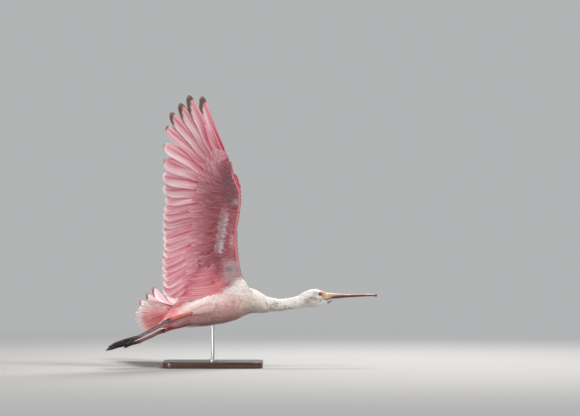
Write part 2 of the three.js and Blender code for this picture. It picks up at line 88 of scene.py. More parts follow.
SHOULDER = (63, -36, 45)
NEAR = dict(elevation=85, sweep=0, twist=0, bend=46)
FAR = dict(elevation=-0.5, sweep=5, twist=7, bend=95)
WRIST, HAND_TIP = 292, 385
ARM = np.array(
    [
        (-20, -62, 70, 34), (15, -38, 78, 30), (40, -21, 80, 26), (80, -12, 78, 23),
        (130, -7, 74, 21), (180, -6, 62, 18), (225, -12, 50, 16), (262, -18, 40, 15),
        (298, -16, 32, 13), (335, 2, 30, 10), (385, 14, 30, 6),
    ],
    float,
)
PRIMARY_TIPS = [(268, 211), (306, 218), (345, 219), (389, 216), (436, 216)]
PRIMARY_TIPS += [(490, 208), (531, 195), (558, 167), (582, 140), (579, 99)]
SECONDARIES, TERTIALS = 12, 3
ARCH, CAMBER, SHINGLE, COVERT_DROP = 20, 24, 1.5, 4.6
TAIL = dict(root=-104, z=-17.3, feathers=12, length=133, outer=41, outer_length=128, lead=11, trail=13)
rng = np.random.default_rng(7)

# %% [markdown]
# ## Lines, sections and surfaces
# Every small feather grows from a place on the trunk or on a wing's arm. A function for each gives the point
# at a station, at an angle round it and at a height over it, so that feathers can hug the form they cover.

# %% Smooth lines through stations
def smooth_line(rows, at):
    rows = np.asarray(rows, float)
    padded = np.vstack([2 * rows[0] - rows[1], rows, 2 * rows[-1] - rows[-2]])
    at = np.clip(np.asarray(at, float), 0, len(rows) - 1)
    i = np.minimum(at.astype(int), len(rows) - 2)
    w = (at - i)[..., None]
    a, b, c, d = (padded[i + k] for k in range(4))
    leave, arrive = (c - a) / 2, (d - b) / 2
    return (
        (2 * w**3 - 3 * w**2 + 1) * b
        + (w**3 - 2 * w**2 + w) * leave
        + (3 * w**2 - 2 * w**3) * c
        + (w**3 - w**2) * arrive
    )


def unit(vectors):
    return vectors / np.linalg.norm(vectors, axis=-1, keepdims=True)


def step(x, low, high):
    t = np.clip((x - low) / (high - low), 0, 1)
    return t * t * (3 - 2 * t)


def mix(a, b, t):
    return a + (b - a) * t


def layers(tint, *washes):
    """Lays washes of colour over a tint in order. Each is a colour and its amount at every point."""
    for colour, amount in washes:
        tint = mix(tint, colour, np.asarray(amount)[..., None])
    return tint


# %% The trunk's surface
def trunk(station, angle, height=0.0):
    """Points on the trunk at a station and an angle, where 90 degrees is the back and 180 the near flank."""
    row = smooth_line(SPINE, station)
    ahead = smooth_line(SPINE, np.asarray(station) + 0.01) - smooth_line(SPINE, np.asarray(station) - 0.01)
    along = unit(ahead[..., CENTRE])
    bank = np.radians(row[..., 4])
    up = np.stack([np.zeros_like(bank), np.sin(bank), np.cos(bank)], -1)
    up = unit(up - along * (along * up).sum(-1, keepdims=True))
    left = np.cross(up, along)
    centre = row[..., CENTRE]
    wide = (row[..., 3] + height) * np.cos(angle)
    tall = (row[..., 2] + height) * np.sin(angle)
    return centre + left * wide[..., None] + up * tall[..., None]


def to_row(points):
    """From the bird's own frame in millimetres to the stand's frame in metres."""
    x, y, z = np.moveaxis(np.asarray(points, float), -1, 0)
    c, s = math.cos(YAW), math.sin(YAW)
    return np.stack([x * c - y * s, x * s + y * c + BIRD_Y, z + BODY_HEIGHT], -1) / 1000


# %% A wing's surface
def lift(u, v):
    """Height of a wing's middle surface."""
    return ARCH * np.sin(np.pi * np.maximum(u, 0) / 620) - CAMBER * (np.maximum(v, 0) / 210) ** 2


def sunk(u, v):
    """How far the near wing's front sinks into the trunk by the breast."""
    return 15 * step(u, 34, -18) * step(v, -8, -50)


def arm_size(u):
    """Front, back and thickness of the arm, which thins into the breast so that no step is left there."""
    front, back, thick = (np.interp(u, ARM[:, 0], ARM[:, k]) for k in (1, 2, 3))
    return front, back, thick * mix(0.3, 1, step(u, -18, 24))


def arm(u, angle, height=0.0):
    """Points on a wing's arm: angle 0 is the front edge, 90 degrees the underside and 180 the back edge."""
    front, back, thick = arm_size(u)
    v = (front + back) / 2 - np.cos(angle) * ((back - front) / 2 + height)
    taper = 0.3 + 0.35 * (1 + np.cos(angle))
    w = lift(u, v) - np.sin(angle) * (thick / 2 * taper + height)
    return np.stack([np.broadcast_to(u, v.shape), v, w], -1)


def turn(axis, degrees):
    a = math.radians(degrees)
    c, s = math.cos(a), math.sin(a)
    i, j = [k for k in range(3) if k != axis]
    m = np.eye(3)
    m[i, i] = m[j, j] = c
    m[i, j], m[j, i] = (-s, s) if axis != 1 else (s, -s)
    return m


def wing_frame(side, pose):
    """A wing's plane in the bird's frame: u out along the span, v back and w up through the back."""
    shoulder = np.array(SHOULDER, float)
    if side > 0:
        middle = np.array([SPINE[7, 0], 0, SPINE[7, 1]])
        bank = math.radians(ROLL)
        across = np.array([0, -math.cos(bank), math.sin(bank)])
        shoulder -= 2 * (shoulder - middle) @ across * across
    basis = np.array([[0, -1, 0], [1, 0, 0], [0, 0, 1]], float)
    rotate = turn(0, pose["elevation"]) @ turn(2, pose["sweep"]) @ turn(1, -pose["twist"]) @ basis
    rotate = np.diag([1, side, 1]) @ rotate

    def place(points):
        points = np.array(points, float)
        if side < 0:
            points[..., 2] += sunk(points[..., 0], points[..., 1])
        return points @ rotate.T + shoulder

    return place


WINGS = {"right": (-1, NEAR, wing_frame(-1, NEAR)), "left": (1, FAR, wing_frame(1, FAR))}
print("trunk length", SPINE[-1, 0] - SPINE[0, 0], "near wing tip", to_row(WINGS["right"][2]((582, 140, 30))))

# %% [markdown]
# ## Meshes from one tile
# A feather is modelled once, as a flat tile with two faces that meet at a thin rim. Each copy has the tile's
# faces and its own points. Copies are joined into one mesh, which keeps a coat of thousands light.
# Each point also gets a tint, the colour of the plumage there with painted shade in places, and a place on
# the feather for its barbs.

# %% The feather tile and the joined mesh
def deselect():
    if bpy.context.object and bpy.context.object.mode != "OBJECT":
        bpy.ops.object.mode_set(mode="OBJECT")
    bpy.ops.object.select_all(action="DESELECT")


def activate(obj):
    deselect()
    obj.select_set(True)
    bpy.context.view_layer.objects.active = obj


def fresh(name, add, **options):
    """A new mesh object under a name, from one of the primitives."""
    deselect()
    add(**options)
    obj = bpy.context.object
    obj.name = obj.data.name = name
    return obj


def edit_all(*actions):
    """Runs actions in edit mode on the whole of the active mesh."""
    bpy.ops.object.mode_set(mode="EDIT")
    bpy.ops.mesh.select_all(action="SELECT")
    for action in actions:
        action()
    bpy.ops.object.mode_set(mode="OBJECT")


def mesh_points(mesh):
    co = np.empty(len(mesh.vertices) * 3)
    mesh.vertices.foreach_get("co", co)
    return co.reshape(-1, 3)


def make_tile(across, along):
    """A closed tile: x from -1 to 1 across, y from 0 to 1 along, z of 1 on top, -1 below and 0 at the rim."""
    obj = fresh("tile", bpy.ops.mesh.primitive_grid_add, x_subdivisions=across, y_subdivisions=along, size=2)
    edit_all(
        lambda: bpy.ops.transform.translate(value=(0, 0, 1)),
        bpy.ops.mesh.duplicate,
        lambda: bpy.ops.transform.translate(value=(0, 0, -2)),
        bpy.ops.mesh.flip_normals,
    )
    co = mesh_points(obj.data)
    rim = (np.abs(co[:, 0]) > 0.999) | (np.abs(co[:, 1]) > 0.999)
    co[rim, 2] = 0
    obj.data.vertices.foreach_set("co", co.ravel())
    edit_all(lambda: bpy.ops.mesh.remove_doubles(threshold=0.001))
    co = mesh_points(obj.data)
    faces = np.array([list(p.vertices) for p in obj.data.polygons])
    bpy.data.objects.remove(obj)
    return dict(a=co[:, 0], t=(co[:, 1] + 1) / 2, side=co[:, 2], faces=faces)


def srgb(code):
    value = np.array([int(code[i : i + 2], 16) for i in (0, 2, 4)]) / 255
    return np.where(value < 0.04045, value / 12.92, ((value + 0.055) / 1.055) ** 2.4)


def set_tint(mesh, tint):
    layer = mesh.color_attributes.new(name="tint", type="FLOAT_COLOR", domain="POINT")
    rgba = np.ones((len(mesh.vertices), 4))
    rgba[:, :3] = np.clip(tint, 0, 1)
    layer.data.foreach_set("color", rgba.ravel())


def joined_mesh(name, tile, points, tint, material, patch=None):
    """points and tint have a row for each feather and, in it, a row for each of the tile's points."""
    count, size = points.shape[:2]
    faces = (tile["faces"][None] + (np.arange(count) * size)[:, None, None]).reshape(-1, 4)
    mesh = bpy.data.meshes.new(name)
    mesh.vertices.add(count * size)
    mesh.vertices.foreach_set("co", to_row(points).ravel())
    mesh.loops.add(faces.size)
    mesh.loops.foreach_set("vertex_index", faces.ravel().astype(np.int32))
    mesh.polygons.add(len(faces))
    mesh.polygons.foreach_set("loop_start", np.arange(0, faces.size, 4, dtype=np.int32))
    mesh.update(calc_edges=True)
    mesh.validate()
    mesh.polygons.foreach_set("use_smooth", np.ones(len(faces), bool))
    set_tint(mesh, tint.reshape(-1, 3))
    place = np.stack([(tile["a"] + 1) / 2, tile["t"]], -1)
    place = np.tile(place, (count, 1))[faces.ravel()]
    which = np.repeat(np.arange(count), faces.size // count)
    numbered = place + np.stack([2.0 * which, 0 * which], -1)
    mesh.uv_layers.new(name="Feather").data.foreach_set("uv", numbered.ravel())
    if patch is not None:
        spread = np.repeat(patch, size, axis=0)[faces.ravel()] + (place - 0.5) * 0.003
        mesh.uv_layers.new(name="OFBake").data.foreach_set("uv", spread.ravel())
    obj = bpy.data.objects.new(name, mesh)
    bpy.context.collection.objects.link(obj)
    mesh.materials.append(material)
    activate(obj)
    bpy.ops.object.shade_smooth_by_angle(angle=math.radians(70))
    deselect()
    print(name, count, "feathers", 2 * len(faces), "triangles")
    return obj


def claim(obj, slot, *nodes):
    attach(obj, "root")
    if nodes:
        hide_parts(*nodes)
    return obj


def dress(obj, tint, material, slot, *nodes):
    if tint is not None:
        set_tint(obj.data, tint)
    obj.data.materials.clear()
    obj.data.materials.append(material)
    return claim(obj, slot, *nodes)


COAT_TILE = make_tile(2, 4)
COAT_THICK, CUP = 0.14, 0.35
COAT_ROW = [COAT_TILE[key][None] for key in ("a", "t", "side")]
QUILL_TILE = make_tile(8, 26)
COVERT_TILE = make_tile(4, 10)
print("tile faces", len(COAT_TILE["faces"]), len(QUILL_TILE["faces"]), len(COVERT_TILE["faces"]))

# %% [markdown]
# ## Finishes
# Plumage takes its colour from the tint on the mesh, darkened a little between the barbs. The barbs run
# slantwise from the shaft to the edge, so one node group draws them from the place on the feather and puts
# out a shade and a height. Horn and scaly skin use small noise patterns in the same way.

# %% Barbs as a shared group
def node(tree, kind, feeds=(), **settings):
    """Adds a node. feeds pairs each input with a value or with the output that it comes from."""
    made = tree.nodes.new("ShaderNode" + kind)
    for key, value in settings.items():
        setattr(made, key, value)
    for socket, value in dict(feeds).items():
        if isinstance(value, bpy.types.NodeSocket):
            tree.links.new(value, made.inputs[socket])
        else:
            made.inputs[socket].default_value = value
    return made


def calc(tree, operation, *values):
    return node(tree, "Math", enumerate(values), operation=operation).outputs[0]


BARB_INPUTS = ("Place", "Count", "Slant", "Depth", "Streaks")
barbs = bpy.data.node_groups.new("feather_barbs", "ShaderNodeTree")
for label in BARB_INPUTS:
    kind = "NodeSocketVector" if label == "Place" else "NodeSocketFloat"
    barbs.interface.new_socket(label, in_out="INPUT", socket_type=kind)
place, count, slant, depth, streak_count = list(barbs.nodes.new("NodeGroupInput").outputs)[:5]
sideways, lengthwise = list(node(barbs, "SeparateXYZ", {0: place}).outputs)[:2]
off_shaft = calc(barbs, "ABSOLUTE", calc(barbs, "SUBTRACT", calc(barbs, "FRACT", sideways), 0.5))
run = calc(barbs, "MULTIPLY", lengthwise, count)
run = calc(barbs, "SUBTRACT", run, calc(barbs, "MULTIPLY", off_shaft, slant))
wave = calc(barbs, "MULTIPLY_ADD", calc(barbs, "SINE", calc(barbs, "MULTIPLY", run, 6.283)), 0.5, 0.5)
clump = node(barbs, "TexNoise", {"Scale": 9.0, "Vector": place}).outputs[0]
rough_wave = calc(barbs, "MULTIPLY", wave, calc(barbs, "MULTIPLY_ADD", clump, 1.2, 0.1))
shade = calc(barbs, "SUBTRACT", 1.0, calc(barbs, "MULTIPLY", rough_wave, depth))
drawn_out = {0: calc(barbs, "MULTIPLY", sideways, streak_count), 1: calc(barbs, "MULTIPLY", lengthwise, 1.6)}
drawn_out = node(barbs, "CombineXYZ", drawn_out).outputs[0]
streaks = node(barbs, "TexNoise", {"Scale": 1.0, "Detail": 3.0, "Vector": drawn_out}).outputs[0]
streaks = calc(barbs, "MULTIPLY_ADD", streaks, 2.6, -0.8)
streaks = calc(barbs, "MINIMUM", calc(barbs, "MAXIMUM", streaks, 0.0), 1.0)
group_end = barbs.nodes.new("NodeGroupOutput")
for label, value in (("Shade", shade), ("Height", rough_wave), ("Streak", streaks)):
    barbs.interface.new_socket(label, in_out="OUTPUT", socket_type="NodeSocketFloat")
    barbs.links.new(value, group_end.inputs[label])


# %% Materials that read the tint
def new_material(name, values):
    """A material with values on its surface's inputs. Returns it with its tree and those inputs."""
    material = bpy.data.materials.new(name)
    material.use_nodes = True
    surface = material.node_tree.nodes["Principled BSDF"].inputs
    for label, value in values.items():
        surface[label].default_value = value
    return material, material.node_tree, surface


def tinted(name, roughness, sheen=0.0, coat=0.0, barb=None, grain=None, bump=0.2, streak=0.0):
    """barb is (count, slant, depth, streaks) on the feather's own map. grain is (scale, depth, pattern)."""
    values = {"Roughness": roughness, "Sheen Weight": sheen, "Coat Weight": coat}
    material, tree, surface = new_material(name, values)
    colour = node(tree, "Attribute", attribute_name="tint").outputs["Color"]
    shade, height = None, None
    if barb:
        place = node(tree, "UVMap", uv_map="Feather").outputs[0]
        lines = node(tree, "Group", node_tree=barbs)
        tree.links.new(place, lines.inputs["Place"])
        for label, value in zip(BARB_INPUTS[1:], barb):
            lines.inputs[label].default_value = value
        shade, height, mask = (lines.outputs[label] for label in ("Shade", "Height", "Streak"))
        wash = {
            "Saturation": calc(tree, "MULTIPLY_ADD", mask, -streak, 1 + 0.5 * streak),
            "Value": calc(tree, "MULTIPLY_ADD", mask, 0.4 * streak, 1 - 0.2 * streak),
            "Color": colour,
        }
        colour = node(tree, "HueSaturation", wash).outputs[0]
    if grain:
        scale, depth, pattern = grain
        where = node(tree, "TexCoord").outputs["Object"]
        height = node(tree, pattern, {"Scale": scale, "Vector": where}).outputs[0]
        shade = calc(tree, "SUBTRACT", 1.0, calc(tree, "MULTIPLY", height, depth))
    if shade is not None:
        colour = node(tree, "VectorMath", {0: colour, "Scale": shade}, operation="SCALE").outputs[0]
        relief = node(tree, "Bump", {"Strength": bump, "Distance": 0.0004, "Height": height})
        tree.links.new(relief.outputs[0], surface["Normal"])
    tree.links.new(colour, surface["Base Color"])
    return material


COAT = tinted("plumage_coat", 0.85, sheen=0.25, barb=(10.0, 8.0, 0.18, 1.5), streak=0.35)
QUILL = tinted("plumage_quill", 0.7, sheen=0.15, barb=(150.0, 44.0, 0.16, 5.0), bump=0.12, streak=0.75)
COVERT = tinted("plumage_covert", 0.8, sheen=0.2, barb=(44.0, 22.0, 0.2, 4.0), streak=0.55)
SKIN = tinted("bare_skin", 0.6, grain=(450.0, 0.25, "TexNoise"))
HORN = tinted("bill_horn", 0.5, coat=0.05, grain=(160.0, 0.3, "TexNoise"), bump=0.15)
SCALY = tinted("leg_scales", 0.5, grain=(420.0, 0.45, "TexVoronoi"), bump=0.5)
EYE_GLOSS = tinted("eye_gloss", 0.08, coat=1.0)

# %% [markdown]
# ## Colours of the plumage
# A second-year bird is white on the head and neck, blush on the body and rose under the wings, with brown
# tips on the outer primaries. Each colour is named, and the markings are soft spots and bands placed by
# station and angle, so the skin below and the coat above carry the same ones.

# %% Plumage colours and the trunk's markings
WHITE, CREAM, BLUSH = srgb("efe9e3"), srgb("e2d8ca"), srgb("d8aeab")
ROSE, DEEP_ROSE, PALE = srgb("cf818d"), srgb("b35764"), srgb("e3bfc5")
CORAL, BROWN, TAN = srgb("d9616a"), srgb("55423a"), srgb("a08468")
# DUSKY is a dark rose. It deepens the axillaries towards the elbow, and over the underside of the arm and the
# inner coverts it is painted shade. UNDERWING_SHADE darkens the underwing's tints as painted shade.
DUSKY = srgb("8d4a52")
UNDERWING_SHADE = np.array([0.86, 0.77, 0.79])
MAUVE, ASH, DUSK, SNOW = srgb("7a5258"), srgb("b3a6a6"), srgb("8f7c6d"), srgb("f4e2e0")


def spot(station, angle, at, turn_at, reach, spread):
    """A soft spot on the trunk: 1 in its middle, fading over reach stations and spread radians."""
    away = (np.mod(angle - turn_at + np.pi, 2 * np.pi) - np.pi) / spread
    return np.exp(-(((station - at) / reach) ** 2) - away**2)


def trunk_tint(station, angle):
    station, angle = np.broadcast_arrays(np.asarray(station, float), np.asarray(angle, float))
    rear = 1 - step(station, 1.5, 4.5)[..., None]
    front = step(station, 7.2, 9.6)[..., None]
    tint = mix(mix(BLUSH, ROSE, 0.45 * rear), WHITE, front)
    for at, where, reach, spread, colour, amount in (
        (5.4, -95, 3.4, 1.1, srgb("b98683"), 0.75),
        (3.0, 170, 0.9, 0.40, CORAL, 0.75),
        (4.7, 190, 1.5, 0.34, srgb("fdf3f1"), 1.0),
        (3.0, 205, 0.7, 0.16, SNOW, 0.6),
        (1.6, -90, 1.4, 1.6, ROSE, 0.5),
        (2.0, 190, 0.7, 0.5, CORAL, 0.45),
        (4.6, 218, 0.9, 0.28, srgb("cdb4ae"), 0.7),
        (6.4, 196, 1.0, 0.30, srgb("e9d3ce"), 0.7),
        (8.6, -150, 0.8, 0.7, srgb("d8c3bb"), 0.5),
        (9.6, -90, 1.2, 1.0, srgb("b9a99b"), 0.7),
        (11.0, -90, 1.6, 0.8, CREAM, 0.8),
        (15.0, -90, 1.0, 0.7, CREAM, 0.7),
    ):
        reached = spot(station, angle, at, math.radians(where), reach, spread)
        tint = layers(tint, (colour, amount * reached))
    return tint


def speckle(station, angle):
    """How likely a feather is to be one of the dusky ones on the throat and lower neck."""
    return 0.8 * spot(station, angle, 12.0, math.radians(-145), 1.4, 0.8) + 0.5 * spot(
        station, angle, 15.4, math.radians(-165), 0.8, 0.5
    )


print("breast tint", trunk_tint(9.0, -1.5).round(2))

# %% Markings of the head
def patches(x, z, tint, rows):
    """Soft oval patches by place on the side view: x, z, reach in x and in z, colour and amount."""
    for at, high, reach_x, reach_z, code, amount in rows:
        near = np.exp(-(((x - at) / reach_x) ** 2) - ((z - high) / reach_z) ** 2)
        tint = layers(tint, (srgb(code), amount * near))
    return tint


def head_tint(x, z, tint):
    """Feathered sides of the head: grey behind the eye and below its front, dusky on the cheek."""
    rows = ((310, 34, 7, 8, "9fa2a3", 0.9), (326, 15.5, 6, 5, "8f9ca5", 0.95), (297, 23, 9, 4, "7d7268", 0.9))
    rows += ((310, 18, 8, 4.5, "7d7268", 0.85), (286, 12, 12, 7, "948a7e", 0.6))
    return patches(x, z, tint, rows)


def mouth_line(x):
    return 14.2 + (x - 333) * 0.25


def bare_edge(z):
    """Where the feathers of the face end: round the front of the eye, then forward along the chin."""
    return np.interp(z, [8, 13, 17, 21, 26, 33, 42], [344, 337, 331, 327, 326, 327, 322])


def face_tint(x, z, tint):
    """Bare skin before the eye: an orange ring, cream, then tan to the bill, and the gape's dark line."""
    bare = step(x - bare_edge(z), -1.5, 1.5)
    face = layers(srgb("c6ba98"), (srgb("b98f78"), step(x, 340, 352)))
    rows = ((333, 37, 7, 6, "c2764a", 0.95), (330, 27, 6, 7, "bf7048", 0.95), (338, 22, 6, 3, "a89a7c", 0.6))
    mouth = mouth_line(x)
    gape = np.exp(-(((z - mouth) / 1.5) ** 2)) * step(x, 331, 335)
    face = layers(
        patches(x, z, face, rows),
        (srgb("c9c1c4"), step(z, mouth, mouth - 2.5)),
        # The dark band low on the chin is painted shade beneath the bill.
        (srgb("8a746d"), 0.85 * step(z, mouth - 6, mouth - 9)),
        (srgb("33241e"), 0.95 * gape),
    )
    return layers(head_tint(x, z, tint), (face, bare))


# %% Markings of the wings' arms
def blot(u, v, at, back, reach_u, reach_v):
    return np.exp(-(((u - at) / reach_u) ** 2) - ((v - back) / reach_v) ** 2)


def arm_tint(u, v, under):
    """Underside: a pale stripe on the forearm, mauve at the wrist, ash and white by the breast."""
    front = np.interp(u, ARM[:, 0], ARM[:, 1])
    tint = layers(ROSE, (DEEP_ROSE, 0.4 + 0.4 * step(v, 12, 50)))
    if under:
        line = v - mix(37.5, 18.6, (u - 106) / 106)
        beside = step(np.abs(line - 12), 14, 4) * step(u, 100, 125) * step(u, 262, 215)
        stripe = step(np.abs(line), 7, 3) * step(u, 98, 110) * step(u, 250, 200)
        ragged = 6 * np.sin(0.11 * u) + 4 * np.sin(0.31 * u)
        wrist = step(u, 236, 272) * step(u, 392, 352) * step(v + ragged, 46, 22)
        wrist = wrist * step(v, front + 3, front + 10)
        shoulder = step(v, 40, 14) * step(u, 10, 36) * step(u, 100, 76)
        tint = layers(
            tint,
            # DUSKY over the whole underside, deepest behind the front edge, is painted shade.
            (DUSKY, 0.6 + 0.25 * step(v, front + 4, 60)),
            (ASH, 0.5 * beside),
            (srgb("bab2b3"), 0.9 * stripe),
            (srgb("70444b"), 0.75 * blot(u, v, 97, 52, 5, 20)),
            (MAUVE, 0.9 * wrist),
            # The pale ash spot at the front of the wrist is a painted highlight.
            (ASH, 0.85 * blot(u, v, 261, -8, 9, 7)),
            (srgb("4a2f33"), 0.7 * blot(u, v, 246, -3, 6, 7)),
            (srgb("d9b9b4"), 0.6 * blot(u, v, 147, 3, 22, 3)),
            (ASH, 0.75 * shoulder),
            (srgb("7d6a6c"), 0.55 * blot(u, v, 62, 8, 5, 16)),
        )
        # The whole underside is darkened once more as painted shade.
        tint = tint * mix(1, UNDERWING_SHADE, 0.9)
    else:
        tint = mix(tint, SNOW, 0.15)
    rim = step(v, front + 4, front + 1) * step(u, 40, 90) * step(u, 372, 330)
    return layers(
        tint,
        (mix(CORAL, PALE, 0.3), 0.6 * rim),
        (mix(CORAL, PALE, 0.2), 0.7 * step(u, 60, 16) * step(v, 10, 34)),
        (srgb("f3ebe6"), 0.95 * step(1.2 * u + 0.9 * v, 38, 0)),
    )


# %% [markdown]
# ## The skin
# Under its feathers the bird is one skin from bill to tail, out along both wings' arms and down the thighs.
# Each form starts as a sphere whose rings are laid along its line. A Boolean joins them, so no seam is left
# where a wing meets the trunk. The skin lies below the outer form by the depth of the coat.

# %% Forms from spheres
def set_points(obj, points):
    obj.data.vertices.foreach_set("co", to_row(points).ravel())
    obj.data.update()


def normals_out():
    edit_all(lambda: bpy.ops.mesh.normals_make_consistent(inside=False))
    bpy.ops.object.shade_smooth()


def laid_form(name, segments, rings, place):
    """A sphere with its rings along a form. place(t, angle, reach) gives the points, reach 0 at both ends."""
    obj = fresh(name, bpy.ops.mesh.primitive_uv_sphere_add, segments=segments, ring_count=rings, radius=1)
    co = mesh_points(obj.data)
    t = np.arccos(np.clip(co[:, 2], -1, 1)) / np.pi
    reach = np.where(np.abs(co[:, 2]) > 0.99999, 0.0, 1.0)
    angle = np.arctan2(co[:, 1], co[:, 0])
    first = 1 / rings
    t = np.clip((t - first) / (1 - 2 * first), 0, 1)
    points = place(t, angle, reach)
    set_points(obj, points)
    normals_out()
    return obj, t, angle


def capped(surface, centre, reach):
    return centre + (surface - centre) * reach[:, None]


def coat_depth(station):
    depths = [1.5, 2.5, 4.5, 4.5, 3.2, 2.2, 1.4, 0.3, 0.3]
    return np.interp(station, [0, 1, 3, 9, 13, 15, 17, 17.8, 20], depths)


def trunk_form(t, angle, reach):
    station = np.interp(t, [0, 0.5, 1], [0.8, HEAD_START, SPINE_END])
    centre = smooth_line(SPINE, station)[:, CENTRE]
    points = trunk(station, angle, -coat_depth(station))
    gape = np.exp(-(((points[:, 2] - mouth_line(points[:, 0])) / 1.3) ** 2)) * step(points[:, 0], 331, 337)
    points[:, 1] *= 1 - 0.15 * gape
    under = points[:, 2] < centre[:, 2]
    points[:, 2] = mix(points[:, 2], centre[:, 2], 0.3 * under * step(station, 18.4, 20))
    closing = np.sqrt(1 - 0.75 * np.clip((station - 19.2) / 0.8, 0, 1) ** 2)
    points = centre + (points - centre) * closing[:, None]
    return capped(points, centre, reach)


def arm_form(frame_of):
    def place(t, angle, reach):
        u = -20 + t * (HAND_TIP - 2 + 20)
        middle = (arm(u, 0 * u) + arm(u, 0 * u + np.pi)) / 2
        return frame_of(capped(arm(u, angle, -1.2), middle, reach))

    return place


def limb(points, radii, flat=1.0):
    def place(t, angle, reach):
        at = t * (len(points) - 1)
        centre = smooth_line(points, at)
        along = unit(smooth_line(points, at + 0.02) - smooth_line(points, at - 0.02))
        side = unit(np.array([0, 1.0, 0]) - along * along[:, 1:2])
        up = np.cross(along, side)
        size = np.interp(at, np.linspace(0, len(points) - 1, len(radii)), radii) * reach
        ring = side * (-np.cos(angle) * size)[:, None] + up * (np.sin(angle) * size * flat)[:, None]
        return centre + ring

    return place


LEGS = {
    "right": dict(
        knee=(25, -32, 2), thigh=(-15, -43, -8), hem=(-60, -55, -20), ankle=(-135, -56, -43.5),
        foot=(-225, -73, -91), hallux=(-268, -75, -116),
        toes=[(-311, -82, -116), (-300, -67, -115), (-322, -75, -127)],
    ),
    "left": dict(
        knee=(25, 8, -30), thigh=(-20, 5, -44), hem=(-68, -5, -57), ankle=(-149, -9, -76.5),
        foot=(-226, -45, -108), hallux=(-270, -47, -125),
        toes=[(-318, -55, -121), (-306, -40, -126), (-325, -48, -133)],
    ),
}
LEGS = {name: {key: np.array(at, float) for key, at in leg.items()} for name, leg in LEGS.items()}
THIGH_RADII = [9, 15, 19, 14, 9]

# %% Join the forms into one skin
skin, _, _ = laid_form("skin", 128, 260, trunk_form)
parts = [laid_form("arm_" + name, 40, 60, arm_form(wing[2]))[0] for name, wing in WINGS.items()]
for name, leg in LEGS.items():
    line = [leg["knee"], leg["thigh"], leg["hem"]]
    parts.append(laid_form("thigh_" + name, 32, 24, limb(line, [r - 2 for r in THIGH_RADII]))[0])
for part in parts:
    activate(skin)
    joint = skin.modifiers.new("join", "BOOLEAN")
    joint.operation, joint.object = "UNION", part
    joint.solver = "MANIFOLD"
    bpy.ops.object.modifier_apply(modifier=joint.name)
    bpy.data.objects.remove(part)
print("skin", len(skin.data.polygons), "faces")


# %% Tint the skin
def row_to_bird(points):
    x, y, z = np.moveaxis(np.asarray(points) * 1000, -1, 0)
    y = y - BIRD_Y
    c, s = math.cos(YAW), math.sin(YAW)
    return np.stack([x * c + y * s, -x * s + y * c, z - BODY_HEIGHT], -1)


co = row_to_bird(mesh_points(skin.data))
station = np.interp(co[:, 0], SPINE[:, 0], np.arange(len(SPINE)))
row = smooth_line(SPINE, station)
bank = np.radians(row[:, 4])
high = (co[:, 1] - row[:, 5]) * np.sin(bank) + (co[:, 2] - row[:, 1]) * np.cos(bank)
wide = (co[:, 1] - row[:, 5]) * np.cos(bank) - (co[:, 2] - row[:, 1]) * np.sin(bank)
outside = np.hypot(high / row[:, 2], wide / row[:, 3]) > 1.06
tint = trunk_tint(station, np.arctan2(high, wide))
tint[outside] = srgb("c9aca5")
for _, _, frame_of in WINGS.values():
    origin = frame_of(np.zeros(3))
    u, v, w = ((co - origin) @ (frame_of(np.eye(3)) - origin).T).T
    on_arm = outside & (np.abs(w - lift(u, v)) < 25) & (u > -25) & (v > -80) & (v < 90)
    below = (w < lift(u, v))[:, None]
    tint = np.where(on_arm[:, None], np.where(below, arm_tint(u, v, True), arm_tint(u, v, False)), tint)
tint = face_tint(co[:, 0], co[:, 2], tint)
dress(skin, tint, SKIN, "plumage_blush", "torso", "neck", "head", "leg_right_thigh", "leg_left_thigh")

# %% [markdown]
# ## The eyes and their lids
# The eye is a glossy ball with a dark pupil in a red brown iris, set in a ring of bare skin. The ball is
# tinted by how far each point lies from its axis, which keeps the iris round from every side.

# %% Eyes and lids
for side, name in ((-1, "right"), (1, "left")):
    ball = dict(segments=48, ring_count=40, radius=EYE["radius"])
    eye = fresh("eye_" + name, bpy.ops.mesh.primitive_uv_sphere_add, **ball)
    co = mesh_points(eye.data)[:, [0, 2, 1]] * (1, 1, -1)
    off_axis = np.degrees(np.arccos(np.clip(co[:, 1] * side / EYE["radius"], -1, 1)))
    iris = ((srgb("7c2415"), step(off_axis, 20, 25)), (srgb("3c120c"), step(off_axis, 38, 50)))
    set_points(eye, co + (EYE["x"], side * EYE["side"], EYE["z"]))
    bpy.ops.object.shade_smooth()
    dress(eye, layers(srgb("180806"), *iris), EYE_GLOSS, "eye", "eye_" + name)
    ring = dict(major_radius=5.7, minor_radius=1.5, major_segments=48, minor_segments=16)
    lid = fresh("lid_" + name, bpy.ops.mesh.primitive_torus_add, **ring)
    co = mesh_points(lid.data)
    turned = np.arctan2(co[:, 1], co[:, 0])
    tall = 0.95 - 0.06 * np.cos(2 * turned)
    flat = np.stack([co[:, 0] * 1.04, co[:, 2] * side * 0.8, co[:, 1] * tall], -1)
    wrinkle = 1 + 0.02 * np.sin(18 * turned)
    front = step(co[:, 0], -1, 5)[:, None]
    lid_tint = mix(srgb("b59a92"), srgb("d08a58"), front) * wrinkle[:, None]
    set_points(lid, flat + (EYE["x"], side * (EYE["side"] + 3.5), EYE["z"]))
    normals_out()
    dress(lid, lid_tint, SKIN, "plumage_white", "head")
print("eyes at", to_row((EYE["x"], -EYE["side"], EYE["z"])).round(3))

# %% [markdown]
# ## The bill
# The bill is two flat bars that narrow to a waist and then widen into the spoon. From the side it is a thin
# line. Each half is a form laid along its length, and the upper one has a groove and a nostril on each side.

# %% The bill's halves
def bill_width(t):
    spoon, neck_in = step(t, 0.5, 0.84), step(t, 0, 0.35)
    round_tip = np.sqrt(np.maximum(0.02, 1 - np.maximum(0, (t - 0.86) / 0.14) ** 2))
    return mix(mix(BILL["root"], BILL["waist"], neck_in), BILL["spoon"], spoon) * round_tip


def nostril(x, y):
    """A slit on each side of the ridge near the bill's root."""
    return np.exp(-(((x - 373) / 5.5) ** 2) - ((np.abs(y) - 4.6) / 1.1) ** 2)


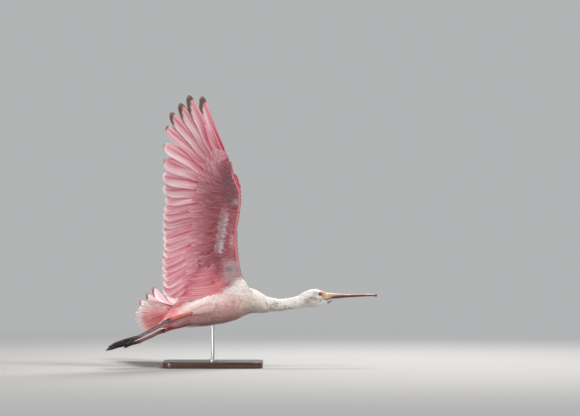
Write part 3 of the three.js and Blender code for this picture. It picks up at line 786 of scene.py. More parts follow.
def bill_half(upper):
    def place(t, angle, reach):
        x = BILL["start"] + t * (BILL["tip"] - BILL["start"])
        seat = BILL["z"] + BILL["rise"] * t - BILL["hook"] * step(t, 0.88, 1)
        thick = mix(13, 6.6, np.minimum(1, t * 2.2)) if upper else mix(8.5, 5, np.minimum(1, t * 2.2))
        thick = thick * (1 - 0.3 * t)
        up = np.sin(angle)
        rise = np.maximum(0, up) if upper else np.minimum(0, up)
        shape = np.sign(rise) * np.abs(rise) ** (0.8 if upper else 0.9)
        ridge = 1 - 0.12 * step(t, 0.55, 0.9) * np.cos(angle * 2) ** 2
        y = np.cos(angle) * reach * bill_width(t) / 2
        z = seat + (0.15 if upper else -0.15) + shape * thick * ridge * reach
        if upper:
            z = z - 1.1 * nostril(x, y) * (up > 0)
            half_width = np.maximum(bill_width(t) / 2, 1)
            groove = np.exp(-(((np.abs(y) / half_width - 0.72) / 0.07) ** 2)) * step(t, 0.15, 0.3)
            z = z - 0.5 * groove * (up > 0)
        return np.stack([x, y, z], -1)

    return place


BILL_PINK, BILL_GREY, BILL_DARK, BILL_BASE = srgb("b98a76"), srgb("a08e78"), srgb("3d241f"), srgb("c4a58c")
for upper in (True, False):
    name = "bill_upper" if upper else "bill_lower"
    bill, t, angle = laid_form(name, 64, 180, bill_half(upper))
    up = np.abs(np.sin(angle))
    co = row_to_bird(mesh_points(bill.data))
    blotch = np.sin(co[:, 0] * 0.37 + 2 * np.sin(co[:, 1] * 0.5)) * np.sin(co[:, 0] * 0.11 + co[:, 1] * 0.3)
    tint = layers(
        BILL_BASE,
        (BILL_PINK, step(t, 0.05, 0.3)),
        (BILL_GREY, 0.35 * (step(t, 0.55, 0.9) * up)),
        # The bill's sides, away from its top, are darkened as painted shade.
        (BILL_DARK, 0.75 * step(up, 0.6, 0.1) * step(t, 0.1, 0.3)),
        (BILL_DARK, (0.12 + 0.12 * blotch) * step(t, 0.1, 0.4)),
        (BILL_DARK, 0.85 * nostril(co[:, 0], co[:, 1]) if upper else 0),
        # The upper half's dark tip is the bill's own colour. The lower half is darkened nearly all along as
        # painted shade beneath the bill.
        (BILL_DARK, step(t, 0.93, 0.97) if upper else 0.85 * step(t, 0.02, 0.12)),
    )
    dress(bill, tint, HORN, "horn", name)
print("bill root width", bill_width(0.0).round(1), "spoon width", bill_width(0.85).round(1))

# %% [markdown]
# ## The coat on the trunk
# Small feathers lie like roof tiles from the head back to the tail. Each has its root on the skin and its tip
# at the height of the coat, so a row covers the roots of the next. They are smallest on the face.

# %% Rows of feathers over the trunk
fine = np.linspace(0, SPINE_END, 2001)
line = smooth_line(SPINE, fine)[:, CENTRE]
RUN = np.concatenate([[0], np.cumsum(np.linalg.norm(np.diff(line, axis=0), axis=1))])


def feather_outline(t, widest=0.55, root=0.45):
    grow = mix(root, 1, step(t, 0, widest))
    return grow * np.sqrt(np.maximum(0.015, 1 - (np.maximum(0, t - widest) / (1 - widest)) ** 2))


def trunk_coat(name, low, high, pitch, spacing, length, width, slot, nodes, keep=None, loft=0.0):
    """Rows from station high down to low, pitch apart, with feathers spacing apart in each row."""
    roots = []
    places = np.arange(np.interp(high, fine, RUN), np.interp(low, fine, RUN), -pitch)
    for k, at in enumerate(places):
        station = np.interp(at, RUN, fine)
        around = math.pi * (smooth_line(SPINE, station)[2:4].sum() - 2 * coat_depth(station))
        count = max(6, round(around / spacing))
        angles = (np.arange(count) + 0.5 * (k % 2) + rng.uniform(-0.2, 0.2, count)) / count * 2 * np.pi
        roots += [(at + j, a) for j, a in zip(rng.uniform(-0.25, 0.25, count) * pitch, angles)]
    at, angle = np.array(roots).T
    station = np.interp(at, RUN, fine)
    if keep is not None:
        chosen = keep(station, angle)
        at, angle, station = at[chosen], angle[chosen], station[chosen]
    n = len(at)
    size = rng.uniform(0.85, 1.15, n)[:, None]
    lean = rng.normal(0, 0.16, n)[:, None]
    a, t, side = COAT_ROW
    across = a * width / 2 * size * feather_outline(t)
    along = t * length * size
    along, across = along * np.cos(lean) - across * np.sin(lean), across * np.cos(lean) + along * np.sin(lean)
    where = np.interp(at[:, None] - along, RUN, fine)
    past = np.minimum(0, at[:, None] - along)
    radius = smooth_line(SPINE, station)[:, 2:4].mean(-1)[:, None]
    depth = coat_depth(station)[:, None]
    height = -depth - 0.25 + (depth + loft * size) * t - CUP * a * a * size + COAT_THICK * side
    points = trunk(where, angle[:, None] + across / radius, height)
    points[..., 0] += past
    tone = (1 + rng.normal(0, 0.05, n) * mix(1, 2.2, step(station, 14.4, 15.2)))[:, None, None]
    base = trunk_tint(station, angle)
    dusky = (rng.uniform(0, 1, n) < speckle(station, angle)) * rng.uniform(0.2, 0.6, n)
    base = mix(base, DUSK, dusky[:, None])
    root = trunk(station, angle)
    base = head_tint(root[:, 0], root[:, 2], base)
    # Each feather is painted darker towards its root, as painted shade where the row above covers it, easing
    # to slight painted light at the tip.
    tint = base[:, None] * tone * mix(0.8, 1.04, step(t, 0.05, 0.9))[..., None]
    patch = np.stack([0.02 + 0.9 * station / SPINE_END, 0.02 + 0.4 * np.mod(angle / (2 * np.pi), 1)], -1)
    return claim(joined_mesh(name, COAT_TILE, points, tint, COAT, patch), slot, *nodes)


def face_is_feathered(station, angle):
    p = trunk(station, angle)
    eye_away = np.hypot(p[:, 0] - EYE["x"], p[:, 2] - EYE["z"])
    beside = np.abs(np.cos(angle)) > 0.35
    bare_front = p[:, 0] > bare_edge(p[:, 2]) - 0.5
    return ~((eye_away < 8.2) & beside) & ~bare_front


trunk_coat("coat_torso", 0.4, 8.6, 5.2, 6.2, 19, 9.5, "plumage_blush", ["torso"], loft=0.9)
trunk_coat("coat_neck", 8.4, 14.6, 3.6, 4.2, 12, 6.2, "plumage_white", ["neck"], loft=0.7)
trunk_coat("coat_head", 14.4, 18.2, 2.0, 2.3, 6.0, 3.4, "plumage_white", ["head"], face_is_feathered, 0.1)


# %% Rows of feathers down the thighs
def thigh_coat(name, leg):
    points = [leg["knee"], leg["thigh"], leg["hem"]]
    surface = limb(points, THIGH_RADII)
    roots = []
    count = 20
    for k, t in enumerate(np.arange(0.0, 0.95, 0.04)):
        roots += [(t, (j + 0.5 * (k % 2) + rng.uniform(-0.2, 0.2)) / count * 2 * np.pi) for j in range(count)]
    at, angle = np.array(roots).T
    a, t, side = COAT_ROW
    where = at[:, None] + t * 0.19 * rng.uniform(0.8, 1.2, (len(at), 1))
    past, where = np.maximum(0, where - 1)[..., None], np.minimum(1, where)
    turned = angle[:, None] + a * 0.26 * feather_outline(t) + t * rng.normal(0, 0.03, (len(at), 1))
    flat = surface(where.ravel(), turned.ravel(), np.ones(where.size))
    middle = surface(where.ravel(), turned.ravel(), np.zeros(where.size))
    out = unit(flat - middle)
    rise = (-2.2 + 2.6 * t + COAT_THICK * side + 0 * where).ravel()
    placed = (flat + out * rise[:, None]).reshape(where.shape + (3,))
    beyond = 2 * (leg["hem"] - leg["thigh"]) - 18 * out.reshape(placed.shape)
    placed = placed + past * beyond
    base = mix(srgb("c9aca5"), BLUSH, rng.uniform(0, 1, (len(at), 1)))
    base = mix(base, srgb("a88a84"), 0.5 * step(np.sin(angle), -0.2, -0.9)[:, None])
    tone = rng.normal(1, 0.06, (len(at), 1, 1))
    # Each feather is painted darker towards its root, as painted shade where the row above covers it, easing
    # to slight painted light at the tip.
    tint = base[:, None] * tone * mix(0.74, 1.06, step(t, 0.05, 0.9))[..., None]
    patch = np.stack([0.6 + 0.1 * at, 0.9 + 0.05 * angle / 6.3], -1)
    joined = joined_mesh("coat_thigh_" + name, COAT_TILE, placed, tint + 0 * placed, COAT, patch)
    claim(joined, "plumage_blush", f"leg_{name}_thigh")


for name, leg in LEGS.items():
    thigh_coat(name, leg)

# %% [markdown]
# ## Flight feathers and coverts
# A wing is a fan of long vanes. Each is laid from its root in the arm to its tip and lies over its neighbour
# like a roof tile. Shorter tiers of coverts lie over and under the roots. The vane is wider behind the shaft,
# and the outer primaries narrow into fingers.

# %% The feathers of a wing
def feather(root, tip, lead, trail, narrow=0.35, kind="", index=0.0):
    """lead and trail are the vane's widths. finger narrows it outwards, bow bends it and wash whitens it."""
    return dict(locals(), finger=0.0, bow=0.0, late=0.0, wash=0.0)


def wing_feathers():
    arm_list, hand_list = [], []
    for i in range(TERTIALS):
        k = i / (TERTIALS - 1)
        root, tip = (mix(44, 80, k), 58), (mix(-24, -15, k), mix(152, 200, k))
        arm_list.append(feather(root, tip, 17, 19, kind="tertial", index=k))
    for i in range(SECONDARIES):
        k = i / (SECONDARIES - 1)
        root, tip = (mix(98, 281, k), mix(54, 14, k**1.5)), (mix(-4, 245, k), 217 + 2 * math.sin(5 * i))
        arm_list.append(feather(root, tip, 16 if k < 1 else 10, 21, kind="secondary", index=k))
    for i, tip in enumerate(PRIMARY_TIPS):
        k = i / (len(PRIMARY_TIPS) - 1)
        root = (mix(WRIST + 9, HAND_TIP - 9, k), mix(13, 19, k))
        first = i == 0
        one = feather(root, tip, mix(21, 9, k), 20 if first else mix(31, 26, k), kind="primary", index=i)
        one.update(finger=0.22 if i > 3 else 0, bow=mix(0, -6, k))
        one.update(narrow=0.2 if first else 0.35, late=0.24 if first else 0)
        hand_list.append(one)
    return arm_list, hand_list


def bake_place(name, under, u, v):
    """The bake map has a field for each wing and face. A feather's place in it is its root on the wing."""
    left, low = 0.55 if "left" in name else 0.02, 0.5 if under else 0.72
    return np.stack([left + u / 1000, low + (v + 70) / 1000], -1)


def covert(f, reach, kind, slide, wider=0.62):
    root, tip = np.array(f["root"], float), np.array(f["tip"], float)
    short = dict(f, root=mix(root, tip, slide), tip=mix(root, tip, reach), kind=kind, share=reach)
    short.update(lead=f["lead"] * wider, trail=f["trail"] * wider, late=f["late"] / reach, finger=0, bow=0)
    return short


def closer(feathers):
    """The same fan with one more feather between each two, for the coverts."""
    dense = []
    for one, other in zip(feathers, feathers[1:]):
        between = dict(one)
        for key in ("root", "tip", "lead", "trail"):
            between[key] = (np.array(one[key], float) + np.array(other[key], float)) / 2
        dense += [one, between]
    return dense + [feathers[-1]]


def columns(a):
    """Moves the tile's columns towards the shaft, so that the shaft is narrow and raised."""
    return np.sign(a) * np.interp(np.abs(a), [0, 0.25, 0.5, 0.75, 1], [0, 0.07, 0.4, 0.72, 1])


def lay_vane(f, beside, tile, height, taper, thick):
    wide = len(np.unique(tile["a"].round(3))) > 6
    a = columns(tile["a"]) if wide else tile["a"]
    t = 1 - (1 - tile["t"]) ** 1.5
    root, tip = np.array(f["root"], float), np.array(f["tip"], float)
    along = (tip - root) / np.linalg.norm(tip - root)
    across = np.array([along[1], -along[0]])
    gap = mix(np.linalg.norm(root - beside["root"]), np.linalg.norm(tip - np.array(beside["tip"])), t)
    grow = mix(f["narrow"], 1, step(t, f["late"], f["late"] + 0.3))
    tip_round = np.sqrt(np.maximum(0.004, 1 - np.maximum(0, (t - taper) / (1 - taper)) ** 2))
    finger = 1 - f["finger"] * step(t, 0.4, 0.62)
    side = a * np.where(a > 0, f["lead"], f["trail"] * finger) * grow * tip_round
    for at, deep, edge in f.get("splits", ()):
        side = side * (1 - deep * np.exp(-(((t - at) / 0.012) ** 2)) * (a * edge > 0.6))
    bow = f["bow"] * np.sin(np.pi * t)
    uv = mix(root, tip, t[:, None]) + across * (side + bow)[:, None]
    slope = np.minimum(0.08, 0.7 * SHINGLE / gap)
    shaft = np.where(np.abs(a) < 0.03, 0.5 * (1 - t) + 0.1, 0.0) if wide else 0.0
    w = height(uv[:, 0], uv[:, 1], t, t * f.get("share", 1.0)) + slope * side
    w = w - CUP * a * a * np.abs(side) / 20 + tile["side"] * (mix(thick, 0.5, t) / 2 + shaft)
    return np.column_stack([uv, w]), a, t


LOOSE = 3.0


def tier(level, bend=0.0):
    def height(u, v, t, on_quill):
        raised = bend * on_quill**2 * np.maximum(0, (u - 300) / 280) ** 2
        return lift(u, v) + level * mix(1.2, LOOSE, np.minimum(1, t * 3)) + raised

    return height


# %% Colours of the flight feathers and coverts
BROWN_TIP = {9: 27, 8: 25, 7: 20, 6: 16, 5: 9, 4: 5, 3: 3}


def vane_tint(f, a, t, left, rosy):
    """Flight feathers: pale behind and outwards, rose by the shaft, white rims, brown on outer tips."""
    primary = f["kind"] == "primary"
    pale = mix(0.8, 1.0, rosy) if primary else mix(0.35, 0.8, rosy)
    trailing, leading = step(a, 0.0, -0.45), step(a, 0.1, 0.9)
    outer_part = step(t, 0.42, 0.75) if primary else step(t, 0.5, 1.0)
    near_shaft = np.exp(-(((a + 0.05) / 0.16) ** 2))
    # These strips are where the neighbouring vanes overlap. The deep rose laid there is partly the vane's own
    # deeper colour and partly painted shade.
    covered = np.exp(-(((a - 0.75) / 0.2) ** 2)) + 0.6 * np.exp(-(((a + 0.5) / 0.12) ** 2))
    tint = layers(
        ROSE,
        (PALE, pale * (0.3 + 0.7 * trailing) * (0.2 + 0.8 * outer_part)),
        (DEEP_ROSE, 0.8 * step(t, 0.55, 0.2) * (1 - 0.4 * trailing)),
        (DEEP_ROSE, 0.7 * near_shaft * step(left, 0, 40)),
        (CORAL, 0.45 * leading * step(t, 0.95, 0.5)),
        (DEEP_ROSE, (0 if primary else 0.5) * covered * step(left, 4, 40)),
        (srgb("fbf1ef"), 0.85 * step(left, 12, 2) * step(t, 0.5, 0.9)),
        (mix(CORAL, PALE, 0.45), 0.5 if f["kind"] == "tertial" else 0),
        (srgb("dcb4b4"), 0.5 * step(np.abs(a), 0.05, 0.01)),
        (SNOW, f["wash"] * step(t, 0.2, 0.6)),
    )
    size = BROWN_TIP.get(int(f["index"]), 0) * (0.45 if f["wash"] else 1) if primary else 0
    if size:
        inner = np.clip((-a - 0.05) / 0.95, 0, 1)
        reach = size * (0.75 + (1.9 * inner**1.5 if f["index"] > 5 else 0.3 * inner))
        # BROWN is the dark end of the outer primaries. The lighter tan on their last few millimetres is a
        # painted highlight.
        tint = layers(tint, (BROWN, step(left, reach * 1.12, reach * 0.88)), (TAN, 0.8 * step(left, 9, 2)))
    return tint


def quill_tint(f, a, t, u, v, under):
    left = (1 - t) * math.dist(f["root"], f["tip"])
    tone, rosy, fringed = rng.normal(1, 0.05), rng.uniform(0, 1), rng.uniform(0, 1)
    if f["kind"] in ("primary", "secondary", "tertial"):
        tint = vane_tint(f, a, t, left, rosy)
    elif f["kind"] == "axillary":
        base = mix(CORAL, PALE, 0.12 + 0.3 * rosy)
        tint = layers(
            mix(base, mix(DEEP_ROSE, DUSKY, 0.5 * rosy), 0.85 * f["index"]),
            (PALE, (0.15 + 0.5 * fringed) * step(a, -0.1, -0.8) * step(t, 0.2, 0.6)),
            (DEEP_ROSE, 0.4 * np.exp(-((a / 0.3) ** 2)) * step(t, 1, 0.6)),
        )
    elif f["kind"] == "alula":
        tint = layers(mix(ROSE, CORAL, 0.75), (DEEP_ROSE, 0.5 * step(t, 0.5, 0.1)))
    else:
        depth = {"greater": 0.5, "median": 0.75}.get(f["kind"], 0.85) * (0.65 + 0.5 * rosy)
        # This mask marks the inner underwing, where the coverts are painted in shade: less pale at their tips
        # and fringes, mixed with DUSKY and darkened.
        deep_in = step(v, 150, 62) * step(u, 400, 280)
        edge = np.maximum(step(a, -0.1, -0.8) * step(t, 0.15, 0.5), 0.6 * step(left, 14, 3))
        tint = layers(
            ROSE,
            (DEEP_ROSE, np.clip(depth * step(t, 1.1, 0.35), 0, 1)),
            (PALE, (0.12 + 0.6 * fringed**2) * edge * (1 - 0.5 * deep_in)),
            (PALE, 0.3 * step(t, 0.6, 1.0) * (1 - deep_in)),
            (DEEP_ROSE, 0.35 * np.exp(-((a / 0.25) ** 2)) * step(t, 1, 0.6)),
        )
        if under:
            tint = layers(tint, (DUSKY, 0.75 * deep_in)) * (1 - 0.1 * deep_in)[:, None]
            tint = layers(tint, (MAUVE, 0.5 * step(v, 68, 40) * step(u, 280, 312) * step(u, 396, 370)))
    if not under:
        tint = mix(tint, SNOW, 0.12)
    elif not f["wash"]:
        tint = tint * mix(1, UNDERWING_SHADE, 0.7 if f["kind"] == "primary" else 1)
    # The far wing's washed feathers are kept 15% darker as painted shade, since the key light falls straight
    # on them.
    return tint * tone * (0.85 if f["wash"] else 1)


def fan_mesh(name, feathers, tile, height, taper, thick, material, nodes, frame_of, under=True, ragged=0.0):
    """ragged is how much the feathers' lengths vary."""
    points, tints, patch = [], [], []
    for i, f in enumerate(feathers):
        root, tip = np.array(f["root"], float), np.array(f["tip"], float)
        worn = [(rng.uniform(0.86, 0.97), rng.uniform(0.1, 0.35), rng.choice((-1, -1, 1)))]
        has_split = rng.uniform(0, 1) < (0.6 if f["kind"] == "primary" else 0.15) and ragged < 0.05
        tip = mix(root, tip, 1 + rng.uniform(-ragged, 0.6 * ragged))
        f = dict(f, tip=tip, splits=worn if has_split else ())
        beside = feathers[i + 1] if i + 1 < len(feathers) else feathers[i - 1]
        placed, a, t = lay_vane(f, beside, tile, height, taper, thick)
        points.append(frame_of(placed))
        tints.append(quill_tint(f, a, t, placed[:, 0], placed[:, 1], under))
        patch.append(bake_place(name, under, *root))
    fan = joined_mesh(name, tile, np.array(points), np.array(tints), material, np.array(patch))
    return claim(fan, "plumage_pink", *nodes)


# %% Lay out both wings
arm_list, hand_list = wing_feathers()
alula = [
    feather((WRIST + 8 + 7 * i, -14 + 4 * i), (328 + 11 * i, 3 + 2 * i), 9, 9, kind="alula", index=i)
    for i in range(3)
]
armpit = []
for k in np.linspace(0, 1, 15):
    root, tip = (mix(-4, 84, k), mix(26, 46, k)), (mix(-26, 62, k), mix(168, 118, k))
    armpit.append(feather(root, tip, 8, 9, kind="axillary", index=k))


def hand_covert(f, share, kind, slide):
    return covert(f, share * mix(0.58, 0.22, f["index"] / 9), kind, slide)


for name, (side, pose, frame_of) in WINGS.items():
    arm_node, hand_node = [f"wing_{name}_arm"], [f"wing_{name}_hand"]
    fan_mesh(f"secondaries_{name}", arm_list, QUILL_TILE, tier(0), 0.88, 0.8, QUILL, arm_node, frame_of)
    washed = [dict(f, wash=0.2 if side > 0 else 0) for f in hand_list]
    look = (QUILL_TILE, tier(0, pose["bend"]), 0.82, 0.8, QUILL)
    fan_mesh(f"primaries_{name}", washed, *look, hand_node, frame_of)
    fan_mesh(f"alula_{name}", alula, COVERT_TILE, tier(1), 0.6, 0.8, COVERT, hand_node, frame_of, True, 0.1)
    for face, level in (("under", -1), ("upper", 1)):
        for kind, share, slide, amount in (
            ("greater", 1.0, 0.02, 0.8),
            ("median", 0.78, 0.04, 1.1),
            ("third", 0.6, 0.05, 1.4),
        ):
            rows = [covert(f, 0.58 * share, kind, slide) for f in closer(arm_list + hand_list[:1])[:-1]]
            hand_rows = closer([hand_covert(f, share, kind, slide) for f in hand_list])
            look = (COVERT_TILE, tier(level * amount, pose["bend"]), 0.2, 0.4, COVERT)
            fan_mesh(f"{kind}_arm_{face}_{name}", rows, *look, arm_node, frame_of, level < 0, 0.2)
            fan_mesh(f"{kind}_hand_{face}_{name}", hand_rows, *look, hand_node, frame_of, level < 0, 0.12)
    look = (COVERT_TILE, tier(-1.55), 0.15, 0.4, COVERT)
    fan_mesh(f"axillaries_{name}", armpit, *look, arm_node, frame_of, True, 0.16)

# %% [markdown]
# ## Small feathers on the wings' arms
# The flesh of the arm carries lesser coverts on both faces. They lie backwards from the front edge, and the
# last rows run out over the roots of the longer coverts. Their tint carries the pale stripe along the
# forearm, the mauve patch at the wrist and the white by the breast.

# %% Lesser coverts
LESSER = dict(row=6.2, gap=6.4, rim_gap=2.9, half_width=4.6, length=21)


def cover_offset(u, v):
    front, back, thick = arm_size(u)
    c = np.clip((v - (front + back) / 2) / ((back - front) / 2), -1, 1)
    core = np.sqrt(1 - c * c) * thick / 2 * (0.3 + 0.35 * (1 - c))
    return np.maximum(core, COVERT_DROP * step(v, front + 8, back - 8) * mix(0.3, 1, step(u, -18, 24)))


def arm_coat(name, frame_of, face):
    under = face == "under"
    sign = -1 if under else 1
    roots = []
    for k, u in enumerate(np.arange(-16, HAND_TIP - 4, LESSER["row"])):
        front, back = np.interp(u, ARM[:, 0], ARM[:, 1]), np.interp(u, ARM[:, 0], ARM[:, 2])
        last = back + (14 if u < 110 else 4)
        for v in np.arange(front - 1 + LESSER["gap"] / 2 * (k % 2), last, LESSER["gap"]):
            roots.append((u + rng.uniform(-1.2, 1.2), v + rng.uniform(-1.2, 1.2), rng.uniform(0.85, 1.15)))
    rim = np.arange(-10, HAND_TIP - 4, LESSER["rim_gap"])
    roots += [(u, np.interp(u, ARM[:, 0], ARM[:, 1]) - 0.6, 0.42) for u in rim]
    u0, v0, size = np.array(roots).T
    n, size = len(u0), size[:, None]
    front = np.interp(u0, ARM[:, 0], ARM[:, 1])[:, None]
    lean = (rng.normal(0.0, 0.1, n) + 0.12)[:, None]
    a, t, side = COAT_ROW
    across, along = a * LESSER["half_width"] * size * feather_outline(t), t * LESSER["length"] * size
    u = u0[:, None] + across * np.cos(lean) + along * np.sin(lean)
    v = v0[:, None] + along * np.cos(lean) - across * np.sin(lean)
    off = cover_offset(u, v) - 1.4 + 1.6 * t - 0.3 * a * a + COAT_THICK * side
    points = frame_of(np.stack([u, v, lift(u, v) + sign * off], -1))
    middle = v0 + np.where(size[:, 0] > 0.6, 8 + rng.normal(0, 1.2, n), 0)
    tint = arm_tint(u0, middle, under)[:, None] * rng.normal(1, 0.06, n)[:, None, None]
    root_shade = mix(0.76, 0.98, step(v0[:, None], front + 10, front + 1))
    tint = tint * mix(root_shade, 1.05, step(t, 0.05, 0.9))[..., None]
    patch = bake_place(name, under, u0, v0)
    joined = joined_mesh(f"lesser_{face}_{name}", COAT_TILE, points, tint + 0 * points, COAT, patch)
    claim(joined, "plumage_pink", f"wing_{name}_arm", f"wing_{name}_hand")


for name, wing in WINGS.items():
    for face in ("under", "upper"):
        arm_coat(name, wing[2], face)

# %% [markdown]
# ## The tail
# Twelve feathers fan out from the rump, banked with the body. Coverts lie over and under their roots.

# %% Tail feathers and their coverts
tail_turn = turn(1, -PITCH) @ turn(0, -ROLL)
half = TAIL["feathers"] // 2
TAIL_WHITE = srgb("ffeae7")


def rectrix(i, reach, kind):
    angle = math.radians(TAIL["outer"] * (i + 0.5) / (half - 0.5))
    length = mix(TAIL["length"], TAIL["outer_length"], i / half) * reach
    way = np.array([math.sin(angle), math.cos(angle)])
    lead, trail = (TAIL[key] * mix(0.6, 1, reach) for key in ("lead", "trail"))
    return feather(4 * way, length * way, lead, trail, narrow=0.15, kind=kind, index=i)


def tail_frame(side):
    basis = np.array([[0, -1, 0], [side, 0, 0], [0, 0, 1]], float)
    return lambda p: p @ basis.T @ tail_turn.T + np.array([TAIL["root"], 0, TAIL["z"]])


def tail_tint(f, a, t, side):
    """Near the wing the fan is white with pink lines. Its far side is coral with orange tips."""
    left = (1 - t) * math.dist(f["root"], f["tip"])
    far = 0.5 + side * (f["index"] + 0.5) / half / 2
    line = np.exp(-(((a - 0.1) / 0.22) ** 2))
    if f["kind"] == "rectrix":
        tint = layers(
            mix(TAIL_WHITE, mix(srgb("f0787e"), PALE, 0.35), step(far, 0.12, 0.6)),
            (srgb("ee6a72"), mix(0.5, 0.8, far) * step(t, 0.95, 0.35)),
            (CORAL, mix(0.45, 0.8, far) * line * step(t, 0.98, 0.7)),
            (mix(TAIL_WHITE, mix(srgb("f3a56a"), SNOW, 0.3), step(far, 0.6, 0.95)), 0.95 * step(left, 30, 8)),
        )
    else:
        tint = layers(
            mix(srgb("ee6f77"), PALE, 0.2),
            (TAIL_WHITE, step(t, 0.3, 1.0) * 0.8 * step(far, 0.5, 0.05)),
            (CORAL, 0.7 * line * step(t, 0.98, 0.6)),
        )
    return tint * rng.normal(1, 0.04)


def tail_height(level):
    return lambda u, v, t, _: level * mix(1, 3.6, np.minimum(1, t * 3)) - 0.0006 * u * u


for label, reach, level in (
    ("tail_quills", 1.0, 0),
    ("tail_under_greater", 0.66, -0.8),
    ("tail_under_lesser", 0.5, -1.4),
    ("tail_upper_greater", 0.6, 0.8),
    ("tail_upper_lesser", 0.46, 1.4),
):
    points, tints, patch = [], [], []
    look = ("covert", (0.8, 1.1), COVERT_TILE, 0.4, 0.6, COVERT)
    if level == 0:
        look = ("rectrix", (0.95, 1.0), QUILL_TILE, 0.5, 0.8, QUILL)
    kind, lengths, tile, taper, thick, material = look
    for side in (-1, 1):
        feathers = [rectrix(i, reach, kind) for i in range(half)]
        for i, f in enumerate(feathers):
            beside = feathers[i + 1] if i + 1 < half else feathers[i - 1]
            worn = dict(f, tip=f["tip"] * rng.uniform(*lengths))
            placed, a, t = lay_vane(worn, beside, tile, tail_height(level), taper, thick)
            points.append(tail_frame(side)(placed))
            tints.append(tail_tint(f, a, t, side))
            patch.append((0.96 - 0.004 * i, 0.2 + 0.03 * side))
    fan = joined_mesh(label, tile, np.array(points), np.array(tints), material, np.array(patch))
    claim(fan, "plumage_blush", "tail")

# %% [markdown]
# ## Legs and feet
# The bare shin, the ankle's knob and the tarsus are one form with scaly skin. Toes swell at their joints and
# end in claws, with a small web between the front ones. They trail together under the tail.

# %% Shins, toes, webs and claws
LEG_RED, LEG_GREY, LEG_DARK = srgb("cf5f48"), srgb("8f7277"), srgb("2b2122")
for name, leg in LEGS.items():
    foot = leg["foot"]
    line = [mix(leg["hem"], leg["ankle"], -0.12), leg["ankle"], mix(leg["ankle"], foot, 0.5), foot]
    along = [0, 0.7, 0.88, 1, 1.12, 1.35, 2.6, 2.9, 3]
    shape = np.interp(np.linspace(0, 3, 31), along, [4, 4, 5.2, 6.3, 5.8, 4.7, 4.4, 5.2, 5.4])
    shin, t, angle = laid_form("shin_" + name, 24, 90, limb(line, shape))
    red = 1 - step(t, 0.26, 0.36)
    base = srgb("a5605c") if name == "left" else LEG_GREY
    back = 0.75 * step(np.sin(angle), 0.2, -0.7) * (1 - 0.7 * red)
    knee = 0.6 * np.exp(-(((t - 0.34) / 0.03) ** 2))
    dress(shin, layers(base, (LEG_RED, red), (LEG_DARK, back + knee)), SCALY, "leg_skin", f"leg_{name}_shin")
    toes, claws = [], []
    for k, tip in enumerate([*leg["toes"], leg["hallux"]]):
        arch = ((-0.02, 0), (0.25, 1), (0.5, 2), (0.8, 1), (0.93, 0))
        bones = [mix(foot, tip, s) + (0, 0, rise) for s, rise in arch]
        radii = [4.8, 4.4, 4.8, 4, 4.4, 3.6, 3.9, 3.1, 2.6]
        toe, t, angle = laid_form(f"toe_{name}_{k}", 16, 36, limb(bones, radii))
        set_tint(toe.data, mix(srgb("54423f"), LEG_DARK, step(t, 0.0, 0.4)[:, None]))
        toes.append(toe)
        nail = [mix(foot, tip, s) + (0, 0, rise) for s, rise in ((0.9, 0.3), (0.96, 0.2), (1.0, -1.2))]
        claw, t, angle = laid_form(f"claw_{name}_{k}", 12, 14, limb(nail, [1.9, 1.5, 0.3]))
        set_tint(claw.data, srgb("1c1716") + 0 * mesh_points(claw.data))
        claws.append(claw)
    web = fresh("web_" + name, bpy.ops.mesh.primitive_grid_add, x_subdivisions=8, y_subdivisions=6, size=2)
    co = mesh_points(web.data)
    outer, inner, lower = leg["toes"]
    a, t = co[:, 0:1], (co[:, 1:2] + 1) / 2
    edge = np.where(a < 0, mix(lower, outer, 1 + a), mix(outer, inner, a))
    reach = mix(0.06, 0.46 - 0.12 * np.sin(np.pi * np.abs(a)), t)
    set_points(web, mix(foot, edge, reach) + (0, 0, 0.8))
    skin_fold = web.modifiers.new("thickness", "SOLIDIFY")
    skin_fold.thickness, skin_fold.offset = 0.0009, 0
    bpy.ops.object.modifier_apply(modifier=skin_fold.name)
    set_tint(web.data, srgb("4a3533") + 0 * mesh_points(web.data))
    for group, label in ((toes + [web], "toes_"), (claws, "claws_")):
        activate(group[0])
        for part in group[1:]:
            part.select_set(True)
        bpy.ops.object.join()
        whole = bpy.context.object
        whole.name = whole.data.name = label + name
        bpy.ops.object.shade_smooth()
        dress(whole, None, SCALY if label == "toes_" else HORN, "foot_skin", f"leg_{name}_foot")
print("legs done")

# %% [markdown]
# ## The stand
# A dark varnished board with rounded corners and a steel rod up to the belly. The board starts as a cube at
# its size. Its upright edges get a wide bevel and its rims a small one. The rod stands in a low collar.

# %% Wood and steel
WOOD, tree, surface = new_material("varnished_wood", {"Roughness": 0.38, "Coat Weight": 0.3})
where = node(tree, "TexCoord").outputs["Object"]
stretched = node(tree, "Mapping", {"Scale": (3.0, 60.0, 60.0), "Vector": where}).outputs[0]
grain = node(tree, "TexNoise", {"Scale": 2.2, "Detail": 6.0, "Vector": stretched}).outputs[0]
ramp = node(tree, "ValToRGB", {0: grain})
for stop, at, code in zip(ramp.color_ramp.elements, (0.35, 0.68), ("2a1a12", "5a3a26")):
    stop.position, stop.color = at, (*srgb(code), 1)
tree.links.new(ramp.outputs[0], surface["Base Color"])
steel_values = {"Metallic": 1.0, "Roughness": 0.32, "Base Color": (0.55, 0.55, 0.56, 1)}
STEEL = new_material("brushed_rod", steel_values)[0]


# %% Board, rod and collar
def place_mesh(obj):
    activate(obj)
    bpy.ops.object.transform_apply(location=True, rotation=True, scale=True)


